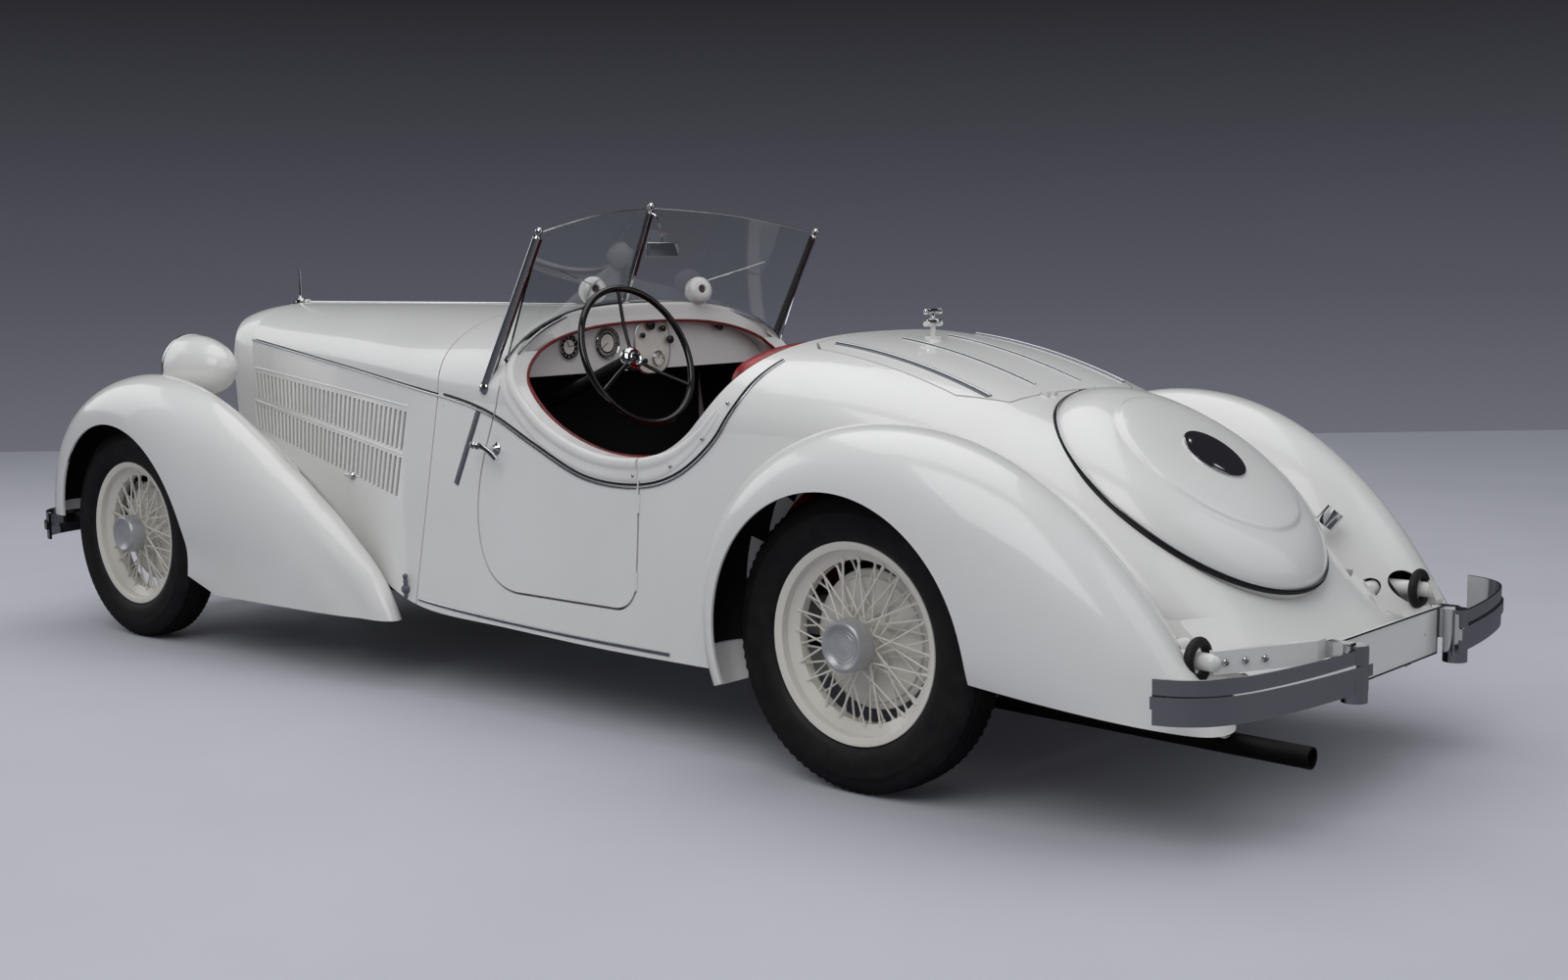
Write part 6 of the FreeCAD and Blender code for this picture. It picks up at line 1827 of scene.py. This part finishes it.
class ROADSTER_OT_spare_cover(bpy.types.Operator):
    """Smooth domed cover with a rolled step, edge piping and a plain centre cap"""
    bl_idname = "roadster.spare_cover"
    bl_label = "Spare wheel cover"

    def execute(self, context):
        rise = 0.104
        profile = [
            (0.3675, -0.024), (0.3685, 0.0), (0.3655, 0.010), (0.3585, 0.0215), (0.3440, 0.0360),
            (0.3250, 0.0500), (0.3030, 0.0622), (0.2800, 0.0705), (0.2580, 0.0757), (0.2510, 0.0768),
            (0.2465, 0.0790), (0.2435, 0.0835), (0.2400, 0.0858), (0.2350, 0.0872), (0.2100, 0.0915),
            (0.1800, 0.0955), (0.1400, 0.0990), (0.1000, 0.1015), (0.0600, 0.1030), (0, 0.1035),
        ]
        dome = turned([(0, -0.024)] + profile, 128)
        piece("spare_cover_dome", moved(dome, cover_stand()), "body", "chassis", ["spare_cover"])
        # Black ring round the cover's foot: a seal, and painted shade of the gap round the cover
        bead = turned([(0.3680, -0.006), (0.3735, -0.005), (0.3755, 0.0), (0.3735, 0.005), (0.3680, 0.006)],
                      128, closed=True)
        piece("spare_cover_seal_and_gap_shade", moved(bead, cover_stand()), "seal", "chassis")
        thin = turned([(0.3690 + across, 0.0085 + rise_at) for across, rise_at in round_section(0.0022, 8)],
                      128, closed=True)
        piece("spare_cover_bead", moved(thin, cover_stand()), "bright", "chassis")
        centre = cover_stand() @ Vector((0, 0, 0))
        rise_way = Vector((math.sin(COVER_TILT), 0, math.cos(COVER_TILT)))
        arc = []
        for degrees in range(8, 96, 4):
            turn = math.radians(degrees)
            arc.append(centre + (RIGHT * math.cos(turn) + rise_way * math.sin(turn)) * 0.3765)
        piece("spare_cover_piping", swept(arc, round_section(0.0042, 8)), "piping", "chassis")
        cap = turned([
            (0.0840, rise - 0.0045), (0.0850, rise - 0.001), (0.0835, rise + 0.0030), (0.0790, rise + 0.0045),
            (0.0740, rise + 0.0037), (0.0715, rise + 0.0045), (0.0560, rise + 0.0085),
            (0.0320, rise + 0.0112), (0, rise + 0.0122),
        ], 64)
        piece("spare_cover_cap", moved(cap, cover_stand()), "chrome", "chassis")
        return {"FINISHED"}


TAIL_LAMP = (-0.800, 0.455, 0.232)
ARM_Y = 0.550
ARM_HEIGHT = 0.385
POCKET_SIDE = 0.285
POCKET_TOP = 0.426


class ROADSTER_OT_tail(bpy.types.Operator):
    """Bumper arm seals and bolts, covers over the arm pockets, plate frame and tail lamps"""
    bl_idname = "roadster.tail"
    bl_label = "Tail"

    def execute(self, context):
        lamps, housings = [], []
        arm = skin_of("bumper_arm_left")
        bolt_shapes = []
        low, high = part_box("bumper_arm_left")
        for share in (0.22, 0.30, 0.38):
            x = low[0] + (high[0] - low[0]) * share
            side_found = arm.ray_cast(Vector((x, 1.2, ARM_HEIGHT)), RIGHT)
            if side_found[0] is not None:
                bolt_shapes.append(lathed([(0, 0.0065), (0.005, 0.006), (0.008, 0.003), (0.0085, 0),
                                           (0.0085, -0.003)], side_found[0], (0, 1, 0), 16))
        ring = turned([(0.0395 + across, rise) for across, rise in round_section(0.0115, 14)], 40,
                      closed=True)
        seals = [moved(ring, standing(at(-0.790, side * ARM_Y, ARM_HEIGHT), (-1, 0, 0))) for side in (1, -1)]
        piece("bumper_arm_seals", joined(seals), "seal", "chassis")
        piece("bumper_arm_bolts", both_sides(*bolt_shapes), "bright", "chassis")
        self.pocket_covers()
        low, high = [Vector(corner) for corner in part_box("number_plate")]
        plate_centre = (low + high) / 2
        half_y, half_z = (high.y - low.y) / 2, (high.z - low.z) / 2
        corners = [(half_y, half_z), (-half_y, half_z), (-half_y, -half_z), (half_y, -half_z)]
        rim = [Vector((low.x - 0.0004, y * 0.985, plate_centre.z + z * 0.965)) for y, z in corners]
        border = swept(rim, bar_section(0.004, 0.003, 0.001), [BACK] * 4, closed=True)
        piece("plate_border", border, "bakelite", "chassis")
        for side in (1, -1):
            x, y, z = TAIL_LAMP
            spot = at(x, side * y, z)
            stand = standing(spot, (-0.94, side * 0.25, -0.1))
            housings.append(moved(turned([(0, -0.030), (0.016, -0.028), (0.024, -0.018), (0.027, 0.0),
                                          (0.027, 0.008), (0.023, 0.008), (0, 0.006)], 28), stand))
            housings.append(rod(spot + Vector((0.01, 0, 0)), spot + Vector((0.05, 0, 0.075)), 0.007, 12))
            lamps.append(moved(turned([(0.0225, 0.007), (0.0215, 0.013), (0.015, 0.019), (0.007, 0.0215),
                                       (0, 0.022)], 28), stand))
        piece("tail_lamp_housings", joined(housings), "body", "chassis")
        piece("tail_lamp_lenses", joined(lamps), "ruby", "chassis")
        return {"FINISHED"}

    def pocket_covers(self):
        """Panels that carry the tail's surface on over the pockets round the bumper arms' feet."""
        tree, fender = skin_of("body_tub"), skin_of("rear_fender_left")
        outer, inner = [], []
        for z in steps_between(0.300, POCKET_TOP + 0.012, 12):
            edge = [tree.ray_cast(Vector((-4, POCKET_SIDE - back, z)), AHEAD)[0]
                    for back in (0.010, 0.040, 0.070)]
            if None in edge:
                continue
            slope = (edge[0].x - edge[1].x) / 0.030
            bend = (slope - (edge[1].x - edge[2].x) / 0.030) / 0.030
            row = []
            for y in steps_between(POCKET_SIDE - 0.010, POCKET_SIDE + 0.190, 17):
                run = y - POCKET_SIDE + 0.010
                x = edge[0].x + slope * run + bend * run * run / 2
                over = fender.ray_cast(Vector((-4, y, z)), AHEAD)[0]
                row.append(Vector((x if over is None else max(x, over.x + 0.004), y, z)))
            outer.append([spot - Vector((0.0012, 0, 0)) for spot in row])
            inner.append([spot + Vector((0.0008, 0, 0)) for spot in row])
        cover = closed_sheet(outer, inner)
        piece("tail_pocket_cover_left", cover, "body", "chassis")
        piece("tail_pocket_cover_right", mirrored(cover), "body", "chassis")


ARCH_WIDTH = (0.50, 0.785)
ARCHES = (("front", FRONT_AXLE, 2, 182), ("rear", REAR_AXLE, -6, 184))  # end, axle, first and last degree
SHADE_SHEET_GAP = 0.003
WALL_RADIUS = 0.47
WALL_MESH = 0.03


class ROADSTER_OT_arch_shade_sheets(bpy.types.Operator):
    """Black sheets inside the four fenders: painted shade in the wheel arches"""
    bl_idname = "roadster.arch_liners"
    bl_label = "Wheel arch undercoat"

    def execute(self, context):
        for end, x, start, stop in ARCHES:
            for side, name in SIDES:
                self.roof(end, x, side, name, range(start, stop + 1, 6))
                self.inner_wall(end, x, side, name)
        return {"FINISHED"}

    def roof(self, end, x, side, name, turns):
        """Dark sheet under a fender, over the wheel: painted shade."""
        tree = skin_of("%s_fender_%s" % (end, name))
        grid = {}
        for i, degrees in enumerate(turns):
            ray = Vector((math.cos(math.radians(degrees)), 0, math.sin(math.radians(degrees))))
            for j, y in enumerate(steps_between(*ARCH_WIDTH, 14)):
                found = tree.ray_cast(Vector((x, side * y, AXLE_HEIGHT)), ray, 1.6)[0]
                if found is not None:
                    grid[i, j] = found - ray * SHADE_SHEET_GAP
        axle = Vector((x, 0, AXLE_HEIGHT))
        sheet = thickened(sheet_of(grid, self.close_by),
                          lambda v: Vector((axle.x - v.x, 0, axle.z - v.z)).normalized())
        piece("undercoat_%s_%s" % (end, name), sheet, "undercoat", "chassis")

    def close_by(self, spots):
        return max((a - b).length for a in spots for b in spots) < 0.16

    def inner_wall(self, end, x, side, name):
        """Dark sheet on the body side behind a wheel: painted shade."""
        bonnet = ["bonnet_side_" + name] if end == "front" else []
        tree = skin_of("body_tub", "%s_fender_%s" % (end, name), *bonnet)
        wheel = Vector((x, side * 0.60, AXLE_HEIGHT))
        grid = {}
        for i in range(33):
            for j in range(17):
                start = wheel + Vector((WALL_MESH * (i - 16), 0, WALL_MESH * (j - 2)))
                found = tree.ray_cast(start, Vector((0, -side, 0)), 0.40)[0]
                if found is not None and (start - wheel).length <= WALL_RADIUS:
                    grid[i, j] = found + Vector((0, side * 0.004, 0))
        shape = sheet_of(grid, self.level)
        if shape[1]:
            sheet = thickened(shape, lambda v: Vector((0, side, 0)))
            piece("undercoat_wall_%s_%s" % (end, name), sheet, "undercoat", "chassis")

    def level(self, spots):
        return max(abs(a.y - b.y) for a in spots for b in spots) < 0.05


def sheet_of(grid, fits):
    """Open sheet over the squares of a grid whose four places are there and fit together."""
    squares = []
    for i, j in sorted(grid):
        keys = [(i, j), (i + 1, j), (i + 1, j + 1), (i, j + 1)]
        if all(key in grid for key in keys) and fits([grid[key] for key in keys]):
            squares.append(keys)
    number = {key: index for index, key in enumerate(sorted({key for keys in squares for key in keys}))}
    return [grid[key] for key in number], [tuple(number[key] for key in keys) for keys in squares]


def thickened(shape, towards, thick=0.0015):
    """Give an open sheet a thickness, with its rim closed."""
    verts, faces = shape
    inner = [v + towards(v) * thick for v in verts]
    count = len(verts)
    uses = {(a, b) for face in faces for a, b in zip(face, face[1:] + face[:1])}
    walls = [(b, a, count + a, count + b) for a, b in sorted(uses) if (b, a) not in uses]
    back = [tuple(count + index for index in reversed(face)) for face in faces]
    return verts + inner, faces + back + walls


# Stage
CAMERA_SPOT = (-4.130192, 4.078337, 1.226444)
CAMERA_TURN = (-0.8464383, 0.1187026, -0.0142928)  # yaw, pitch and roll, from the fit to the photo
FLOOR_END = 13.1  # metres ahead of the camera, where the photo's floor meets its wall
LAMPS = [
    # name, place, edge of the square in m, power in W
    ("key", (-2.5, 4.5, 5.5), 5.0, 162.0),
    ("fill", (-6.0, -2.5, 3.5), 5.0, 50.0),
    ("top", (0.5, -1.0, 6.0), 6.0, 140.0),
    ("front", (6.0, 2.0, 3.5), 4.0, 60.0),
]


class ROADSTER_OT_stage(bpy.types.Operator):
    """Pale floor, backdrop, soft studio light and the camera"""
    bl_idname = "roadster.stage"
    bl_label = "Stage, light and camera"

    def execute(self, context):
        settings = context.scene.roadster_stage
        scene = context.scene
        finish, tree, shader, where = new_finish("matt studio floor")
        speck = add_node(tree, "ShaderNodeTexNoise", {"Vector": where, "Scale": 1.3, "Detail": 5.0})
        pale = shades(tree, speck.outputs["Fac"], [(0.3, "#BABAC1"), (0.7, settings.floor_tone)])
        # Painted shade: reflections see a darker floor than the camera does, as under the flags of a studio
        mirrored_ray = add_node(tree, "ShaderNodeLightPath").outputs["Is Glossy Ray"]
        tone = add_node(tree, "ShaderNodeMix", {"Factor": mirrored_ray, 6: pale, 7: linear("#55565E")},
                        data_type="RGBA")
        tree.links.new(tone.outputs[2], shader.inputs["Base Color"])
        shader.inputs["Roughness"].default_value = 0.85
        mesh = bpy.data.meshes.new("floor")
        yaw, pitch, roll = CAMERA_TURN
        eye = Vector(CAMERA_SPOT)
        heading = Vector((math.cos(yaw), math.sin(yaw), 0))
        beside = Vector((math.sin(yaw), -math.cos(yaw), 0))
        ground = Vector((eye.x, eye.y, 0))
        corners = [ground + heading * far + beside * wide for far, wide in
                   ((-30, -40), (-30, 40), (FLOOR_END, 40), (FLOOR_END, -40))]
        mesh.from_pydata([tuple(corner) for corner in corners], [], [(0, 1, 2, 3)])
        mesh.materials.append(finish)
        floor = bpy.data.objects.new("floor", mesh)
        scene.collection.objects.link(floor)
        for name, spot, size, power in LAMPS:
            light = bpy.data.lights.new(name, "AREA")
            light.size = size
            light.energy = power
            lamp = bpy.data.objects.new(name, light)
            aim = Vector((0, 0, 0.5)) - Vector(spot)
            lamp.location = spot
            lamp.rotation_euler = aim.to_track_quat("-Z", "Y").to_euler()
            scene.collection.objects.link(lamp)
        world = bpy.data.worlds.new("studio")
        world.use_nodes = True
        sky = world.node_tree
        path = add_node(sky, "ShaderNodeLightPath").outputs
        seen = add_node(sky, "ShaderNodeMath", {0: path["Is Camera Ray"], 1: path["Is Transmission Ray"]},
                        operation="MAXIMUM")
        seen = add_node(sky, "ShaderNodeMath", {0: seen.outputs[0], 1: path["Is Glossy Ray"]},
                        operation="MAXIMUM").outputs[0]
        height = add_node(sky, "ShaderNodeSeparateXYZ",
                          {0: add_node(sky, "ShaderNodeTexCoord").outputs["Generated"]}).outputs["Z"]
        share = add_node(sky, "ShaderNodeMapRange",
                         {"Value": height, "From Min": -0.10, "From Max": 0.13}).outputs["Result"]
        wall = shades(sky, share, [(0.0, "#6E6F79"), (0.35, "#55565F"), (0.70, "#404148"), (1.0, "#28282D")])
        tone = add_node(sky, "ShaderNodeMix", {"Factor": seen, 6: linear("#9EA1A8"), 7: wall},
                        data_type="RGBA")
        sky.links.new(tone.outputs[2], sky.nodes["Background"].inputs["Color"])
        sky.nodes["Background"].inputs["Strength"].default_value = 1.0
        scene.world = world
        scene.view_settings.view_transform = "Standard"
        camera_data = bpy.data.cameras.new("camera")
        camera_data.lens = settings.lens
        camera_data.sensor_width = 36.0
        camera = bpy.data.objects.new("camera", camera_data)
        ahead = Vector((math.cos(yaw) * math.cos(pitch), math.sin(yaw) * math.cos(pitch), -math.sin(pitch)))
        up = beside.cross(ahead)
        across = beside * math.cos(roll) + up * math.sin(roll)
        rise = up * math.cos(roll) - beside * math.sin(roll)
        turn = Matrix((across, rise, -ahead)).transposed().to_4x4()
        camera.matrix_world = Matrix.Translation(eye) @ turn
        scene.collection.objects.link(camera)
        scene.camera = camera
        return {"FINISHED"}


class ROADSTER_PT_sidebar(bpy.types.Panel):
    """Settings of the roadster and buttons for its builders"""
    bl_label = "Roadster"
    bl_idname = "ROADSTER_PT_sidebar"
    bl_space_type = "VIEW_3D"
    bl_region_type = "UI"
    bl_category = "Roadster"

    def draw(self, context):
        for group in ("roadster_colours", "roadster_wheels", "roadster_stage"):
            settings = getattr(context.scene, group)
            for name in settings.__annotations__:
                self.layout.prop(settings, name)
        for operator in OPERATORS:
            self.layout.operator(operator.bl_idname)


GROUPS = {
    "roadster_colours": RoadsterColours,
    "roadster_wheels": RoadsterWheels,
    "roadster_stage": RoadsterStage,
}
OPERATORS = [
    ROADSTER_OT_coachwork, ROADSTER_OT_wire_wheels, ROADSTER_OT_tyres, ROADSTER_OT_coaming,
    ROADSTER_OT_waist_moulding, ROADSTER_OT_windscreen, ROADSTER_OT_instruments, ROADSTER_OT_hand_wheel,
    ROADSTER_OT_cabin, ROADSTER_OT_seats, ROADSTER_OT_bonnet_trim, ROADSTER_OT_nose,
    ROADSTER_OT_side_fittings, ROADSTER_OT_deck_trim, ROADSTER_OT_spare_cover, ROADSTER_OT_tail,
    ROADSTER_OT_arch_shade_sheets, ROADSTER_OT_stage,
]


def register():
    for group in GROUPS.values():
        bpy.utils.register_class(group)
    for name, group in GROUPS.items():
        setattr(bpy.types.Scene, name, bpy.props.PointerProperty(type=group))
    for operator in OPERATORS:
        bpy.utils.register_class(operator)
    bpy.utils.register_class(ROADSTER_PT_sidebar)


def unregister():
    bpy.utils.unregister_class(ROADSTER_PT_sidebar)
    for operator in reversed(OPERATORS):
        bpy.utils.unregister_class(operator)
    for name, group in GROUPS.items():
        delattr(bpy.types.Scene, name)
        bpy.utils.unregister_class(group)


def main():
    register()
    for operator in OPERATORS:
        name = operator.bl_idname.split(".")[1]
        getattr(bpy.ops.roadster, name)()


if __name__ == "__main__":
    main()
